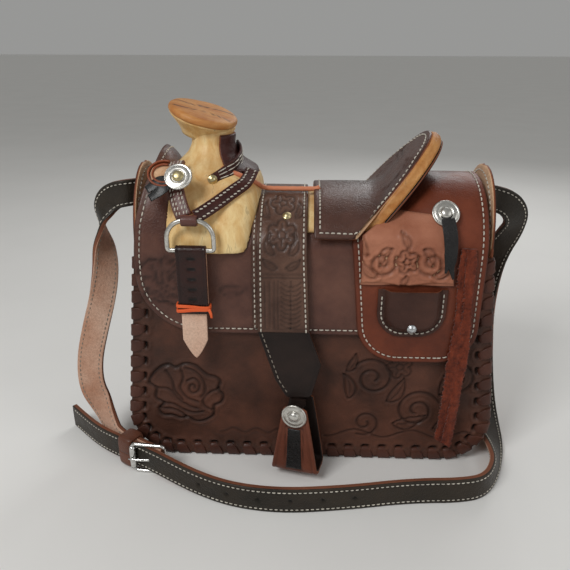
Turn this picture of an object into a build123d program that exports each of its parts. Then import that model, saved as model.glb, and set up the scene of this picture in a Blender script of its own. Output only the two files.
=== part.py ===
from build123d import *
import math
import os

# A western saddle in miniature on a laced leather handbag, with its shoulder strap.
# Frame: +X to the bag's right (the cantle end), +Y to its back, +Z up.
# The origin is on the surface that the bag stands on, under the middle of the bag.
# Lengths are in millimetres, angles in degrees.

# ---- driving dimensions -------------------------------------------------------------
bag_depth = 95.0                # over the front and back panels
bag_half_bottom = 144.5         # half width of a panel at the floor, before its corners are rounded
bag_half_top = 127.0            # half width of a panel at its top edge
bag_corner = 36.0               # radius of a panel's bottom corners
spring_z = 172.0                # top edge of the panels, where the saddle's arch springs
leather = 2.4                   # skirts, gussets, straps of one layer
panel_thick = 2.5               # front and back panels
lace_thick = 1.6                # flat lace round the panels' edges
lace_width = 7.6
lace_reach = 9.0                # from the panel's edge to the middle of a lace hole
lace_hole = 5.0                 # length of a slot for the lace
lace_count = 44                 # loops on each panel
gap = 0.3                       # clearance between bodies that pass each other

crown_front = spring_z + 65.0   # top of the arch at the pommel end of the skirts
crown_seat = spring_z + 29.0    # top of the arch under the seat
crown_rear = spring_z + 44.0    # top of the arch at the cantle end
tongue_top = spring_z + 57.0    # top of each side gusset

skirt_left = -126.0             # pommel end of the skirts
skirt_right = 119.0             # cantle end of the skirts
skirt_hem = spring_z - 60.0     # lower edge of the front skirt
skirt_lobe = 46.0               # radius of its front corner
rear_left = 27.0                # left edge of the rear skirt
rear_right = 121.0
rear_hem = spring_z - 80.0      # lower edge of the rear skirt
rear_lobe = 28.0

fork_left = -110.0              # pommel face of the fork
fork_right = -38.0
fork_thick = 6.0                # wood over the skirt at the fork's legs
fork_hem = spring_z + 3.0       # lower edge of the fork's front leg
neck_x = -77.0
neck_radius = 14.5
neck_top = spring_z + 81.0
horn_radius = 25.5
horn_rim = 4.5                  # thickness of the horn cap's rim
horn_tilt = 16.0                # the cap slopes down towards the seat
horn_lean = 8.0                 # and a little towards the front of the bag
bar_thick = 3.0                 # wooden bars that join fork and cantle

seat_front = 4.0
seat_thick = 7.0
seat_hem = spring_z + 9.0
cantle_x = 33.0                 # where the cantle board starts on the sides
cantle_z = spring_z + 17.0
cantle_slope = 50.0             # angle of the board from level
cantle_height = 84.0            # along the slope
cantle_half = 47.0
cantle_thick = 8.0
cantle_pad = 3.5                # seat leather on the board's front face

pocket_left = 47.0
pocket_right = 96.0
pocket_top = spring_z - 21.0
pocket_bottom = spring_z - 58.0
pocket_depth = 8.0
pocket_wall = 1.8
flap_thick = 2.0                # pocket flap's leather
ribbon_width = 9.0              # ribbon that hangs over the pocket flap
ribbon_thick = 1.0
ribbon_bottom = spring_z - 6.0
rear_lift = 1.5                 # rear skirt's end above the flap's hinge line
flap_left = 34.0                # pocket flap, at its lower edge
flap_right = 98.5
flap_bottom = spring_z - 18.0
flap_hinge_z = spring_z + 18.0
yoke_top = spring_z + 31.0      # fixed part above the pocket flap

concho_radius = 9.5
concho_thick = 2.4
rivet_radius = 3.0

ring_x = -83.0
ring_bar_z = spring_z + 7.5     # D-ring's straight bar, at its middle
ring_width = 32.0               # over the bends, between wire centres
ring_height = 21.0              # from the bar to the top of the bow, between wire centres
ring_wire = 1.7                 # half the thickness of its metal
latigo_width = 21.0
latigo_bottom = spring_z - 40.0 # end of the folded strap
billet_bottom = spring_z - 75.0 # tip of the pale strap inside it
billet_width = 18.0

fender_left = -37.0
fender_right = -3.0
fender_top_z = spring_z + 10.0  # where the hanging part starts to swing
fender_end = 66.0
fender_step = 116.0             # the tooled strap ends here over the lower panel
stirrup_x = -8.0
stirrup_top = 64.0
stirrup_foot = 7.0
stirrup_width = 36.0            # along the tread
stirrup_neck = 17.0             # width of a branch at the bolt
stirrup_depth = 24.0            # over the two branches
stirrup_wall = 3.0
stirrup_turn = -14.0            # it hangs turned a little towards the pommel
bolt_radius = 2.0

string_x = 108.5                # middle of the pair of saddle strings
string_top = spring_z + 9.0
string_bottom = 24.0
string_width = 7.5
string_gap = 1.2

strap_width = 20.0              # shoulder strap
strap_thick = 4.2
strap_hole = 2.4                # radius of a punched hole
keeper_width = 13.0
keeper_wall = 2.2
buckle_wire = 1.6
buckle_length = 23.0
snap_radius = 8.0
snap_thick = 1.4

# ---- worked-out places --------------------------------------------------------------
half_depth = bag_depth / 2
skirt_in = lace_thick + gap             # skirts pass over the lace
skirt_out = skirt_in + leather
rear_out = skirt_out + leather
fork_out = skirt_out + fork_thick
bar_out = skirt_out + bar_thick
seat_out = bar_out + seat_thick
hinge_y = half_depth + skirt_out + gap
hinge_z = spring_z
big = 600.0                             # longer than anything here

os.makedirs("parts", exist_ok=True)


def save(shape, name):
    """Write one node."""
    export_step(shape, f"parts/{name}.step")


# ---- the saddle's form --------------------------------------------------------------
# The leather lies over an arch: straight sides up to spring_z, then half an ellipse
# whose crown changes along X.
stations = [
    (skirt_left - 2, crown_front),
    (skirt_left + 20, crown_front),
    (skirt_left + 38, crown_seat),
    (60.0, crown_seat),
    (84.0, crown_rear),
    (rear_right + 2, crown_rear),
]


def crown_at(x):
    """Height of the bare arch's crown at x."""
    for (x0, z0), (x1, z1) in zip(stations, stations[1:]):
        if x0 <= x <= x1:
            return z0 + (z1 - z0) * (x - x0) / (x1 - x0)
    return stations[0][1] if x < stations[0][0] else stations[-1][1]


def arch_section(x, out, crown, low):
    """Face across the form at x, grown outward by out, down to the height low."""
    half = half_depth + out
    sides = Polyline((half, spring_z), (half, low), (-half, low), (-half, spring_z))
    top = EllipticalCenterArc((0, spring_z), half, crown + out - spring_z, 0, arc_size=180)
    return Plane.YZ.offset(x) * make_face(sides + top)


def form(out, low=60.0):
    """Closed solid of the form, grown outward by out."""
    return loft([arch_section(x, out, crown, low) for x, crown in stations], ruled=True)


def side_cut(outline):
    """Solid of an outline in the XZ plane, right through the bag's depth."""
    return extrude(Plane.XZ * make_face(outline), big / 2, both=True)


def slab(x0, x1, y0, y1, z0, z1):
    """Box between two corners."""
    return Pos((x0 + x1) / 2, (y0 + y1) / 2, (z0 + z1) / 2) * Box(
        abs(x1 - x0), abs(y1 - y0), abs(z1 - z0)
    )


def on_form(x, z, out, side=-1):
    """Plane on the form at x and z, facing outward, on the front (-1) or back (1)."""
    a = half_depth + out
    b = crown_at(x) + out - spring_z
    rise = max(0.0, z - spring_z) / b
    y = side * a * math.sqrt(1 - rise**2)
    normal = (0, y / a**2, rise / b)
    return Plane(origin=(x, y, z), x_dir=(1, 0, 0), z_dir=normal)


skin_in = form(skirt_in)
skin_out = form(skirt_out)
bars_out = form(bar_out)
rear_skin = form(rear_out)
behind_hinge = slab(-big, big, 0, big, -big, spring_z)
back_low = slab(-big, big, 0, big, -big, spring_z + 9)


# ---- straps -------------------------------------------------------------------------
def ribbon(path, samples, across, width, thick):
    """Flat strap along path; across(t) is the direction of its width at t."""
    faces = []
    for i in range(samples + 1):
        t = i / samples
        along = path % t
        side = across(t)
        side = side - along * side.dot(along)
        faces.append(Plane(origin=path @ t, x_dir=side, z_dir=along) * Rectangle(width, thick))
    return loft(faces, ruled=True)


def bent_strap(points, facing, width, thick):
    """Short flat strap through a few points, its face turned to the vector facing."""
    facing = Vector(*facing)
    corners = [Vector(*p) for p in points]
    faces = []
    for i, point in enumerate(corners):
        before = corners[max(i - 1, 0)]
        after = corners[min(i + 1, len(corners) - 1)]
        along = (after - before).normalized()
        side = along.cross(facing).normalized()
        faces.append(Plane(origin=point, x_dir=side, z_dir=along) * Rectangle(width, thick))
    return loft(faces, ruled=True)


def concho():
    """Round metal button with a raised hub, its back on the XY plane."""
    disc = Cylinder(concho_radius, concho_thick, align=(Align.CENTER, Align.CENTER, Align.MIN))
    disc = chamfer(disc.edges().group_by(Axis.Z)[-1], concho_thick * 0.45)
    hub = Pos(0, 0, concho_thick) * Cylinder(
        concho_radius * 0.34, concho_thick * 0.6, align=(Align.CENTER, Align.CENTER, Align.MIN)
    )
    return disc + hub


def rivet():
    """Domed rivet head, its back on the XY plane."""
    dome = Sphere(rivet_radius * 1.2)
    head = dome & Pos(0, 0, rivet_radius) * Box(9, 9, 2 * rivet_radius)
    return head


# ---- bag body -----------------------------------------------------------------------
def panel_outline(inset):
    """Closed outline of a panel in the XZ plane, drawn inset from its edge."""
    low = lace_thick + inset
    bottom = bag_half_bottom - inset
    top = bag_half_top - inset
    corner = bag_corner - inset
    return FilletPolyline(
        (-top, spring_z), (-bottom, low), (bottom, low), (top, spring_z), radius=corner
    )


def panel_face(inset, lift=0.0):
    """Face of a panel, its top edge raised by lift."""
    path = panel_outline(inset)
    ends = [path @ 0, path @ 1]
    up = Vector(0, lift)
    if lift:
        rim = Polyline(ends[1], ends[1] + up, ends[0] + up, ends[0])
    else:
        rim = Line(ends[1], ends[0])
    return make_face(path + rim)


def lace_places():
    """Position and direction along the panel's edge of every lace loop."""
    path = panel_outline(0)
    places = []
    for i in range(lace_count):
        t = (i + 0.5) / lace_count
        places.append((path @ t, path % t))
    return places


def panel(side):
    """Front (-1) or back (1) panel with its row of lace slots."""
    solid = extrude(Plane.XZ * panel_face(0), panel_thick)
    solid = Pos(0, -half_depth + panel_thick if side < 0 else half_depth, 0) * solid
    y = side * (half_depth - panel_thick / 2)
    for place, along in lace_places():
        inward = Vector(-along.Y, along.X)
        spot = place + inward * lace_reach
        frame = Plane(
            origin=(spot.X, y, spot.Y), x_dir=(along.X, 0, along.Y), z_dir=(0, -1, 0)
        )
        solid -= frame * Box(lace_hole, 1.6, panel_thick * 3)
    return solid


def lacing(side):
    """Flat lace loops over one panel's edge, as a group of separate loops."""
    loops = []
    outer = side * (half_depth + lace_thick)
    for place, along in lace_places():
        inward = Vector(-along.Y, along.X)
        middle = place + inward * (lace_reach / 2 - lace_thick / 2)
        frame = Plane(
            origin=(middle.X, outer - side * lace_thick / 2, middle.Y),
            x_dir=(along.X, 0, along.Y),
            z_dir=(0, -1, 0),
        )
        face_leg = frame * Box(lace_width, lace_reach + lace_thick, lace_thick)
        edge = place - inward * (lace_thick / 2)
        wrap = Plane(
            origin=(edge.X, side * (half_depth - lace_reach / 2 + lace_thick / 2), edge.Y),
            x_dir=(along.X, 0, along.Y),
            z_dir=(0, -1, 0),
        )
        edge_leg = wrap * Box(lace_width, lace_thick, lace_reach + lace_thick)
        loops.append(face_leg + edge_leg)
    return Compound(children=loops)


front_panel = panel(-1)
snap_z = skirt_hem + 20
snap_seat = Pos(0, -half_depth, snap_z) * Rot(90, 0, 0) * Cylinder(
    snap_radius, snap_thick, align=(Align.CENTER, Align.CENTER, Align.MAX)
)
front_panel -= snap_seat
save(front_panel, "front_panel")
save(snap_seat, "snap_socket")
save(panel(1), "back_panel")
save(lacing(-1), "front_lacing")
save(lacing(1), "back_lacing")

# Side gussets and bottom strip: one band inside the panels' edges, in three pieces.
inner_half = half_depth - panel_thick
band = Plane.XZ * (panel_face(0, 80) - panel_face(leather, 90))
band = extrude(band, inner_half, both=True)
seam_z = lace_thick + bag_corner + 6
bottom_band = band & slab(-big, big, -big, big, 0, seam_z)
save(bottom_band, "bottom_gusset")
tongue_shape = Plane.YZ.offset(-big / 2) * make_face(
    Polyline(
        (inner_half, spring_z), (inner_half, 0), (-inner_half, 0), (-inner_half, spring_z)
    )
    + EllipticalCenterArc((0, spring_z), inner_half, tongue_top - spring_z, 0, arc_size=180)
)
tongue_cut = extrude(tongue_shape, big)
for name, sign in (("left_gusset", -1), ("right_gusset", 1)):
    half_band = band & slab(0, sign * big, -big, big, seam_z, big) & tongue_cut
    save(half_band, name)

# Back skirt, hung on the back panel below the hinge line, with its spacer welt.
skirt_side = FilletPolyline(
    (skirt_right, skirt_hem), (skirt_left, skirt_hem), (skirt_left, spring_z), radius=skirt_lobe
)
skirt_side += Polyline(
    (skirt_left, spring_z),
    (skirt_left + 3, spring_z + 22),
    (skirt_left + 19, crown_front + 30),
    (skirt_right, crown_front + 30),
    (skirt_right, skirt_hem),
)
skirt_cut = side_cut(skirt_side)
back_skirt = (skin_out - skin_in) & skirt_cut & slab(-big, big, 0, big, 0, spring_z - gap)
save(back_skirt, "back_skirt")
welt_low = spring_z - 24
save(
    slab(-bag_half_top + lace_reach + 6, bag_half_top - lace_reach - 6, half_depth,
         half_depth + skirt_in, welt_low, spring_z - gap),
    "hinge_welt",
)

# ---- flap: leather ------------------------------------------------------------------
front_skirt = ((skin_out - skin_in) & skirt_cut) - behind_hinge
snap_post = Pos(0, -half_depth - skirt_in, snap_z) * Rot(90, 0, 0) * Cylinder(
    snap_radius, snap_thick, align=(Align.CENTER, Align.CENTER, Align.MIN)
)
front_skirt -= snap_post
save(front_skirt, "front_skirt")
save(snap_post, "snap_stud")

rear_side = FilletPolyline(
    (rear_left, seat_hem + 9), (rear_left + 9, rear_hem), (rear_right, rear_hem),
    (rear_right, spring_z), radius=rear_lobe
)
rear_side += Polyline(
    (rear_right, spring_z), (rear_right, crown_front + 30), (rear_left, crown_front + 30),
    (rear_left, seat_hem + 9)
)
rear_cut = side_cut(rear_side)
rear_skirt = ((rear_skin - skin_out) & rear_cut) - behind_hinge
rear_skirt -= slab(-big, big, 0, big, 0, spring_z + rear_lift)

# ---- flap: wooden tree --------------------------------------------------------------
fork_side = FilletPolyline(
    (fork_left + 7, fork_hem), (fork_left, fork_hem + 32), (neck_x - 24, spring_z + 50),
    (neck_x - neck_radius, neck_top - 10), (neck_x - neck_radius, neck_top),
    (neck_x + neck_radius, neck_top), (neck_x + neck_radius + 5, neck_top - 18),
    (fork_right - 8, spring_z + 50), (fork_right, spring_z + 36), (fork_right, fork_hem),
    radius=2.0,
)
fork_side += Line((fork_right, fork_hem), (fork_left + 7, fork_hem))
fork_half = half_depth + fork_out
fork_end = FilletPolyline(
    (-fork_half, fork_hem), (-fork_half, fork_hem + 14), (-fork_half + 9, fork_hem + 36),
    (-neck_radius - 14, spring_z + 56), (-neck_radius, neck_top - 13), (-neck_radius, neck_top),
    (neck_radius, neck_top), (neck_radius, neck_top - 13), (neck_radius + 14, spring_z + 56),
    (fork_half - 9, fork_hem + 36), (fork_half, fork_hem + 14), (fork_half, fork_hem),
    radius=3.0,
)
fork_end += Line((fork_half, fork_hem), (-fork_half, fork_hem))
fork_block = side_cut(fork_side) & extrude(Plane.YZ * make_face(fork_end), big / 2, both=True)
fork = fork_block - skin_out - back_low
save(fork, "fork")

horn_place = Pos(neck_x - 4, 0, neck_top + 9) * Rot(horn_lean, horn_tilt, 0)
horn = horn_place * (
    Cylinder(horn_radius, horn_rim, align=(Align.CENTER, Align.CENTER, Align.MIN))
    + Pos(0, 0, -13) * Cone(neck_radius - 1, horn_radius - 1, 13,
                            align=(Align.CENTER, Align.CENTER, Align.MIN))
)
horn = horn - fork_block
save(horn, "horn_cap")

# Leather wrapped round the back of the neck, and the stitched strap across it.
wrap_height = 30.0
wrap_low = neck_top - 4 - wrap_height
wrap_tube = Pos(neck_x, 0, wrap_low) * (
    Cylinder(neck_radius + 8, wrap_height, align=(Align.CENTER, Align.CENTER, Align.MIN))
    - Pos(0, 0, -1) * Cylinder(neck_radius + 5.6, wrap_height + 2,
                               align=(Align.CENTER, Align.CENTER, Align.MIN))
)
wrap_tube = wrap_tube & slab(neck_x + 4, big, -big, big, 0, big)
horn_wrap = wrap_tube - fork_block - skin_out - horn
save(horn_wrap.solids().sort_by(SortBy.VOLUME)[-1], "horn_wrap")

bars = (bars_out - skin_out) & slab(fork_right, cantle_x + 36, -big, big, fork_hem + 3, big)
bars = bars - back_low
slope = math.radians(cantle_slope)
board_up = Vector(math.cos(slope), 0, math.sin(slope))
board_normal = Vector(-math.sin(slope), 0, math.cos(slope))
board = Plane(origin=(cantle_x, 0, cantle_z), x_dir=(0, -1, 0), z_dir=board_normal)


def board_layer(half, height, low, high):
    """Half-elliptical layer of the cantle between two depths from the board's front."""
    arc = EllipticalCenterArc((0, 0), half, height, 0, arc_size=180)
    face = make_face(arc + Line((-half, 0), (half, 0)))
    return board.offset(low) * extrude(face, high - low)


cantle = board_layer(cantle_half, cantle_height, -cantle_thick, 0) - skin_out - back_low
save(cantle, "cantle_board")
behind_board = board * Pos(0, 0, -big / 2) * Box(2 * big, 2 * big, big)
bars = bars - behind_board
bars = bars.solids().sort_by(SortBy.VOLUME)[-1]
save(bars, "tree_bars")

facing_leather = board_layer(cantle_half - 1, cantle_height - 1.5, -cantle_thick - leather,
                             -cantle_thick) - rear_skin - back_low
save(facing_leather, "cantle_facing")
cantle_zone = board_layer(cantle_half + 8, cantle_height + 8, -cantle_thick - leather, 0)
rear_skirt = rear_skirt - cantle_zone - bars
rear_skirt = rear_skirt.solids().sort_by(SortBy.VOLUME)[-1]
save(rear_skirt, "rear_skirt")

seat_skin = form(seat_out)
seat_shell = (seat_skin - bars_out) & slab(seat_front, cantle_x + 40, -big, big, seat_hem, big)
seat_shell = seat_shell - back_low - behind_board
seat_back = board_layer(cantle_half - 1.5, cantle_height - 3, 0, cantle_pad)
seat_back = seat_back - bars_out - back_low
seat = seat_shell + seat_back - rear_skirt - bars - skin_out
save(seat.solids().sort_by(SortBy.VOLUME)[-1], "seat")

# Welt along the top of the bars, from the wrap to the seat.
welt_z = crown_seat + bar_out
welt_start = (fork_right + 1.0, -9.0, welt_z + 1.6)
piping = bent_strap(
    [welt_start, (seat_front - 1.0, -9.0, welt_z + 1.6)], (0, 0, 1), 2.6, 2.4
) - bars_out
save(piping, "piping")

# ---- flap: rigging at the pommel ----------------------------------------------------
fold_in = ring_wire * math.sqrt(1.64) + gap     # a loop's inner radius round the ring
fold_wall = 1.3
rig_half = 1.2                                  # half the thickness of a rigging strap
ring_y = -(half_depth + fork_out + fold_in + fold_wall + gap)
ring_top_z = ring_bar_z + ring_height
meet_z = ring_top_z + fold_in + fold_wall + 1.0
front_rig = bent_strap(
    [
        (ring_x - 13, -neck_radius - 16, spring_z + 57.5),
        (ring_x - 9, -fork_half + 8, fork_hem + 42),
        (ring_x - 5, ring_y + 1.5, meet_z),
    ],
    (0, -1, 0.35), 10.5, 2 * rig_half,
)
rear_rig = bent_strap(
    [
        (neck_x + 25, -neck_radius - 15, spring_z + 56),
        (ring_x + 17, -fork_half + 7, fork_hem + 42),
        (ring_x + 6, ring_y + 1.5, meet_z),
    ],
    (0, -1, 0.35), 8.5, 2 * rig_half,
)
front_rig = (front_rig - fork_block).solids().sort_by(SortBy.VOLUME)[-1]

# Loop at the end of the rigging straps, which holds the bow of the D-ring.
rig_loop = Pos(ring_x, ring_y, ring_top_z) * Rot(0, 90, 0) * (
    Cylinder(fold_in + fold_wall, 11.0) - Cylinder(fold_in, 12.0)
)
rig_tab = slab(ring_x - 5.5, ring_x + 5.5, ring_y, ring_y + 2 * rig_half,
               ring_top_z + fold_in + 0.4, meet_z)
rig_loop = rig_loop + rig_tab - fork_block
front_rig = (front_rig - rig_loop).solids().sort_by(SortBy.VOLUME)[-1]
rear_rig = rear_rig - fork_block - front_rig - rig_loop
save(front_rig, "front_rigging_strap")
save(rear_rig.solids().sort_by(SortBy.VOLUME)[-1], "rear_rigging_strap")
save(rig_loop, "rigging_loop")

# D-ring: straight bar below, bow above.
bow_radius = 7.0
ring_face = make_face(
    Line((-ring_width / 2 - ring_wire, -ring_wire), (ring_width / 2 + ring_wire, -ring_wire))
    + FilletPolyline(
        (ring_width / 2 + ring_wire, -ring_wire),
        (ring_width / 2 + ring_wire, ring_height + ring_wire),
        (-ring_width / 2 - ring_wire, ring_height + ring_wire),
        (-ring_width / 2 - ring_wire, -ring_wire),
        radius=bow_radius + ring_wire,
    )
)
ring_void = make_face(
    Line((-ring_width / 2 + ring_wire, ring_wire), (ring_width / 2 - ring_wire, ring_wire))
    + FilletPolyline(
        (ring_width / 2 - ring_wire, ring_wire),
        (ring_width / 2 - ring_wire, ring_height - ring_wire),
        (-ring_width / 2 + ring_wire, ring_height - ring_wire),
        (-ring_width / 2 + ring_wire, ring_wire),
        radius=bow_radius - ring_wire,
    )
)
d_ring = extrude(Plane.XZ * (ring_face - ring_void), ring_wire * 0.8, both=True)
d_ring = Pos(ring_x, ring_y, ring_bar_z) * d_ring
save(d_ring, "d_ring")

# Latigo: folded over the bar, two layers down to the end, pale billet between them.
billet_half = 1.0
latigo_half = fold_wall + billet_half
fold = Pos(ring_x, ring_y, ring_bar_z) * Rot(0, 90, 0) * (
    Cylinder(fold_in + fold_wall, latigo_width) - Cylinder(fold_in, latigo_width + 2)
)
latigo_body = slab(
    ring_x - latigo_width / 2, ring_x + latigo_width / 2, ring_y - latigo_half,
    ring_y + latigo_half, latigo_bottom, ring_bar_z - fold_in - 0.4,
)
billet_slot = slab(
    ring_x - billet_width / 2, ring_x + billet_width / 2, ring_y - billet_half,
    ring_y + billet_half, billet_bottom, latigo_bottom + 12,
)
latigo = fold + latigo_body - billet_slot
save(latigo, "latigo_strap")
billet_tip = extrude(
    Plane.XZ.offset(-ring_y)
    * Pos(ring_x, billet_bottom)
    * make_face(
        Polyline((-billet_width / 2, 60), (-billet_width / 2, 16), (0, 0),
                 (billet_width / 2, 16), (billet_width / 2, 60), (-billet_width / 2, 60))
    ),
    billet_half, both=True,
)
billet = billet_tip & billet_slot
save(billet, "latigo_billet")
lace_keeper_z = latigo_bottom + 5
keeper_outer = Pos(ring_x, ring_y, lace_keeper_z) * Box(
    latigo_width + 3.0, 2 * latigo_half + 3.0, 4.5
)
lace_keeper = keeper_outer - latigo_body
save(lace_keeper, "latigo_keeper")

# Front concho with its ribbon, and the leather rosette behind it.
front_concho_place = Plane(
    origin=(ring_x - 9.5, -fork_half + 8, fork_hem + 46), x_dir=(1, 0, 0),
    z_dir=(0, -math.cos(math.radians(38)), math.sin(math.radians(38))),
)
rosette_thick = 2.0
rosette = front_concho_place * Pos(-14, 3, 0) * Box(
    14, 16, rosette_thick, align=(Align.CENTER, Align.CENTER, Align.MIN)
)
front_ribbon = front_concho_place * Pos(-8, -9, 0) * Rot(0, 0, 32) * Box(
    26, 8, 1.2, align=(Align.CENTER, Align.CENTER, Align.MIN)
)
front_concho = front_concho_place * Pos(0, 0, 2.8) * concho()
front_concho = front_concho + front_concho_place * Cylinder(
    5.0, 2.8, align=(Align.CENTER, Align.CENTER, Align.MIN)
)
front_concho = front_concho - front_rig - fork_block
front_concho = front_concho.solids().sort_by(SortBy.VOLUME)[-1]
front_ribbon = front_ribbon - front_rig - fork_block - front_concho
rosette = rosette - front_rig - fork_block - front_concho - front_ribbon
save(front_concho, "front_concho")
save(front_ribbon.solids().sort_by(SortBy.VOLUME)[-1], "front_ribbon")
save(rosette.solids().sort_by(SortBy.VOLUME)[-1], "front_rosette")

# ---- flap: rear skirt's fittings ----------------------------------------------------
yoke_side = Polyline(
    (flap_left, flap_hinge_z + gap), (flap_right, flap_hinge_z + gap), (flap_right - 8, yoke_top - 6),
    (flap_right - 20, yoke_top), (flap_right - 36, yoke_top), (flap_left, flap_hinge_z + gap),
)
yoke = (form(rear_out + 2.0) - rear_skin) & side_cut(yoke_side)
yoke = yoke & slab(-big, big, -big, 0, 0, big)
rear_concho_place = on_form(90.0, yoke_top + 1.0, rear_out + 2.0)
rear_concho = rear_concho_place * concho()
rear_post = rear_concho_place * Cylinder(
    4.0, 2.6, align=(Align.CENTER, Align.CENTER, Align.MAX)
)
rear_concho = rear_concho + (rear_post - rear_skin)
yoke = (yoke - rear_concho - cantle_zone).solids().sort_by(SortBy.VOLUME)[-1]
save(yoke, "pocket_yoke")
save(rear_concho, "rear_concho")

flap_y = -(half_depth + rear_out + gap)
pocket_flap = slab(flap_left, flap_right, flap_y, flap_y - flap_thick, flap_bottom, flap_hinge_z)
save(pocket_flap, "pocket_flap")

pouch_y = -(half_depth + rear_out)
pouch_outline = FilletPolyline(
    (pocket_left, pocket_top), (pocket_left, pocket_bottom), (pocket_right, pocket_bottom),
    (pocket_right, pocket_top), radius=17.0,
)
pouch_face = make_face(pouch_outline + Line((pocket_right, pocket_top), (pocket_left, pocket_top)))
void_outline = FilletPolyline(
    (pocket_left + pocket_wall, pocket_top), (pocket_left + pocket_wall, pocket_bottom + pocket_wall),
    (pocket_right - pocket_wall, pocket_bottom + pocket_wall),
    (pocket_right - pocket_wall, pocket_top), radius=17.0 - pocket_wall,
)
void_face = make_face(
    void_outline
    + Line((pocket_right - pocket_wall, pocket_top), (pocket_left + pocket_wall, pocket_top))
)
pouch = extrude(Plane.XZ.offset(-pouch_y) * pouch_face, pocket_depth)
pouch = pouch - extrude(Plane.XZ.offset(-pouch_y) * void_face, pocket_depth - pocket_wall)
save(pouch, "pocket_pouch")
pocket_x = (pocket_left + pocket_right) / 2
pocket_rivet = Plane(
    origin=(pocket_x + 2, pouch_y - pocket_depth, pocket_bottom + 8), x_dir=(1, 0, 0),
    z_dir=(0, -1, 0),
) * rivet()
save(pocket_rivet, "pocket_rivet")

# Pair of suede saddle strings through a slit in the rear skirt.
string_y = -(half_depth + rear_out + gap + 1.6)
strings = []
for step in (-1, 1):
    middle = string_x + step * (string_width + string_gap) / 2
    strings.append(
        bent_strap(
            [(middle, string_y, string_top), (middle - 5, string_y, string_bottom)],
            (0, -1, 0), string_width, 2.6,
        )
    )
save(Compound(children=strings), "saddle_strings")

# Thin black ribbon below the rear concho; it lies on the pocket's flap and lifts with it.
ribbon_y = flap_y - flap_thick - gap
ribbon_middle = flap_right - ribbon_width / 2
rear_ribbon = slab(ribbon_middle - ribbon_width / 2, ribbon_middle + ribbon_width / 2,
                   ribbon_y, ribbon_y - ribbon_thick, ribbon_bottom, flap_hinge_z - gap)
save(rear_ribbon, "rear_ribbon")

# ---- flap: fender straps over the tree ----------------------------------------------
fender_band = (form(bar_out + leather) - bars_out) & slab(
    fender_left, fender_right, -big, big, fender_top_z + gap, big
)
fender_band = fender_band - back_low - fork_block - piping - seat
fender_band = fender_band.solids().sort_by(SortBy.VOLUME)[-1]
save(fender_band, "fender_top")
save(on_form(-18.0, crown_seat - 2.0, bar_out + leather) * rivet(), "fender_rivet")

# ---- fender and stirrup, front and back ---------------------------------------------
fender_in = half_depth + bar_out + gap + 0.4    # inner face of a hanging fender
stirrup_y = half_depth + lace_thick + gap + stirrup_depth / 2 + 5.0
bolt_z = stirrup_top - 5.0
panel_drop = fender_step - fender_end
panel_tilt = math.degrees(math.atan2(stirrup_y - fender_in - leather, panel_drop))


def fender_strap(side, top):
    """Upper strap of a fender, hanging straight down."""
    return slab(fender_left, fender_right, side * fender_in, side * (fender_in + leather),
                fender_step, top)


def fender_panel(side):
    """Lower part of a fender, which narrows and leans out to the stirrup's bolt."""
    outline = make_face(
        Polyline(
            (fender_left, 0), (fender_left + 12, -panel_drop + 14), (stirrup_x - 8, -panel_drop),
            (stirrup_x + 8, -panel_drop), (fender_right + 11, -panel_drop + 26),
            (fender_right, 0), (fender_left, 0),
        )
    )
    sheet = extrude(Plane.XZ * outline, leather if side < 0 else -leather)
    place = Pos(0, side * fender_in, fender_step) * Rot(side * panel_tilt, 0, 0)
    return place * sheet - slab(-big, big, -big, big, fender_step, big)


def stirrup_place(side):
    """Location of a stirrup's own axes: X along the tread, Z up, on the floor."""
    return Pos(stirrup_x, side * stirrup_y, 0) * Rot(0, 0, stirrup_turn)


def stirrup_frame(side):
    """Leather-covered stirrup: two tapered branches and the tread between them."""
    branch = make_face(
        Polyline(
            (-stirrup_neck / 2, stirrup_top), (-stirrup_width / 2, stirrup_foot),
            (stirrup_width / 2, stirrup_foot), (stirrup_neck / 2, stirrup_top),
            (-stirrup_neck / 2, stirrup_top),
        )
    )
    block = extrude(Plane.XZ * branch, stirrup_depth / 2, both=True)
    half_in = stirrup_depth / 2 - stirrup_wall
    inside = slab(-big, big, -half_in, half_in, stirrup_foot + 4.0, big)
    return stirrup_place(side) * (block - inside - stirrup_bolt_shape(0.0))


def stirrup_bolt_shape(grow):
    """Bolt across the top of the branches, grown by a clearance."""
    return Pos(0, 0, bolt_z) * Rot(90, 0, 0) * Cylinder(bolt_radius + grow, stirrup_depth)


def stirrup_hanger(side):
    """Strap loop round the bolt, between the branches, up to the fender panel's end."""
    inner = bolt_radius + gap
    wide = stirrup_depth - 2 * stirrup_wall - 2 * gap
    loop = Cylinder(inner + leather * 0.6, wide) - Cylinder(inner, wide + 2)
    loop = Pos(0, 0, bolt_z) * Rot(90, 0, 0) * loop
    neck = slab(-5.5, 5.5, -leather / 2, leather / 2, bolt_z + inner + 0.5, fender_end)
    return stirrup_place(side) * (loop + neck)


def stirrup_badge(side):
    """Concho on the outer branch, over the bolt's head."""
    face = Plane(origin=(0, side * stirrup_depth / 2, bolt_z), x_dir=(1, 0, 0),
                 z_dir=(0, side, 0))
    return stirrup_place(side) * (face * concho())


def stirrup_inlay(side):
    """Dark strip down the outer branch, below the concho."""
    y = side * stirrup_depth / 2
    strip = slab(-6.0, 6.0, y, y + side * 1.0, stirrup_foot + 5, bolt_z - concho_radius - 0.5)
    return stirrup_place(side) * strip


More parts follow.
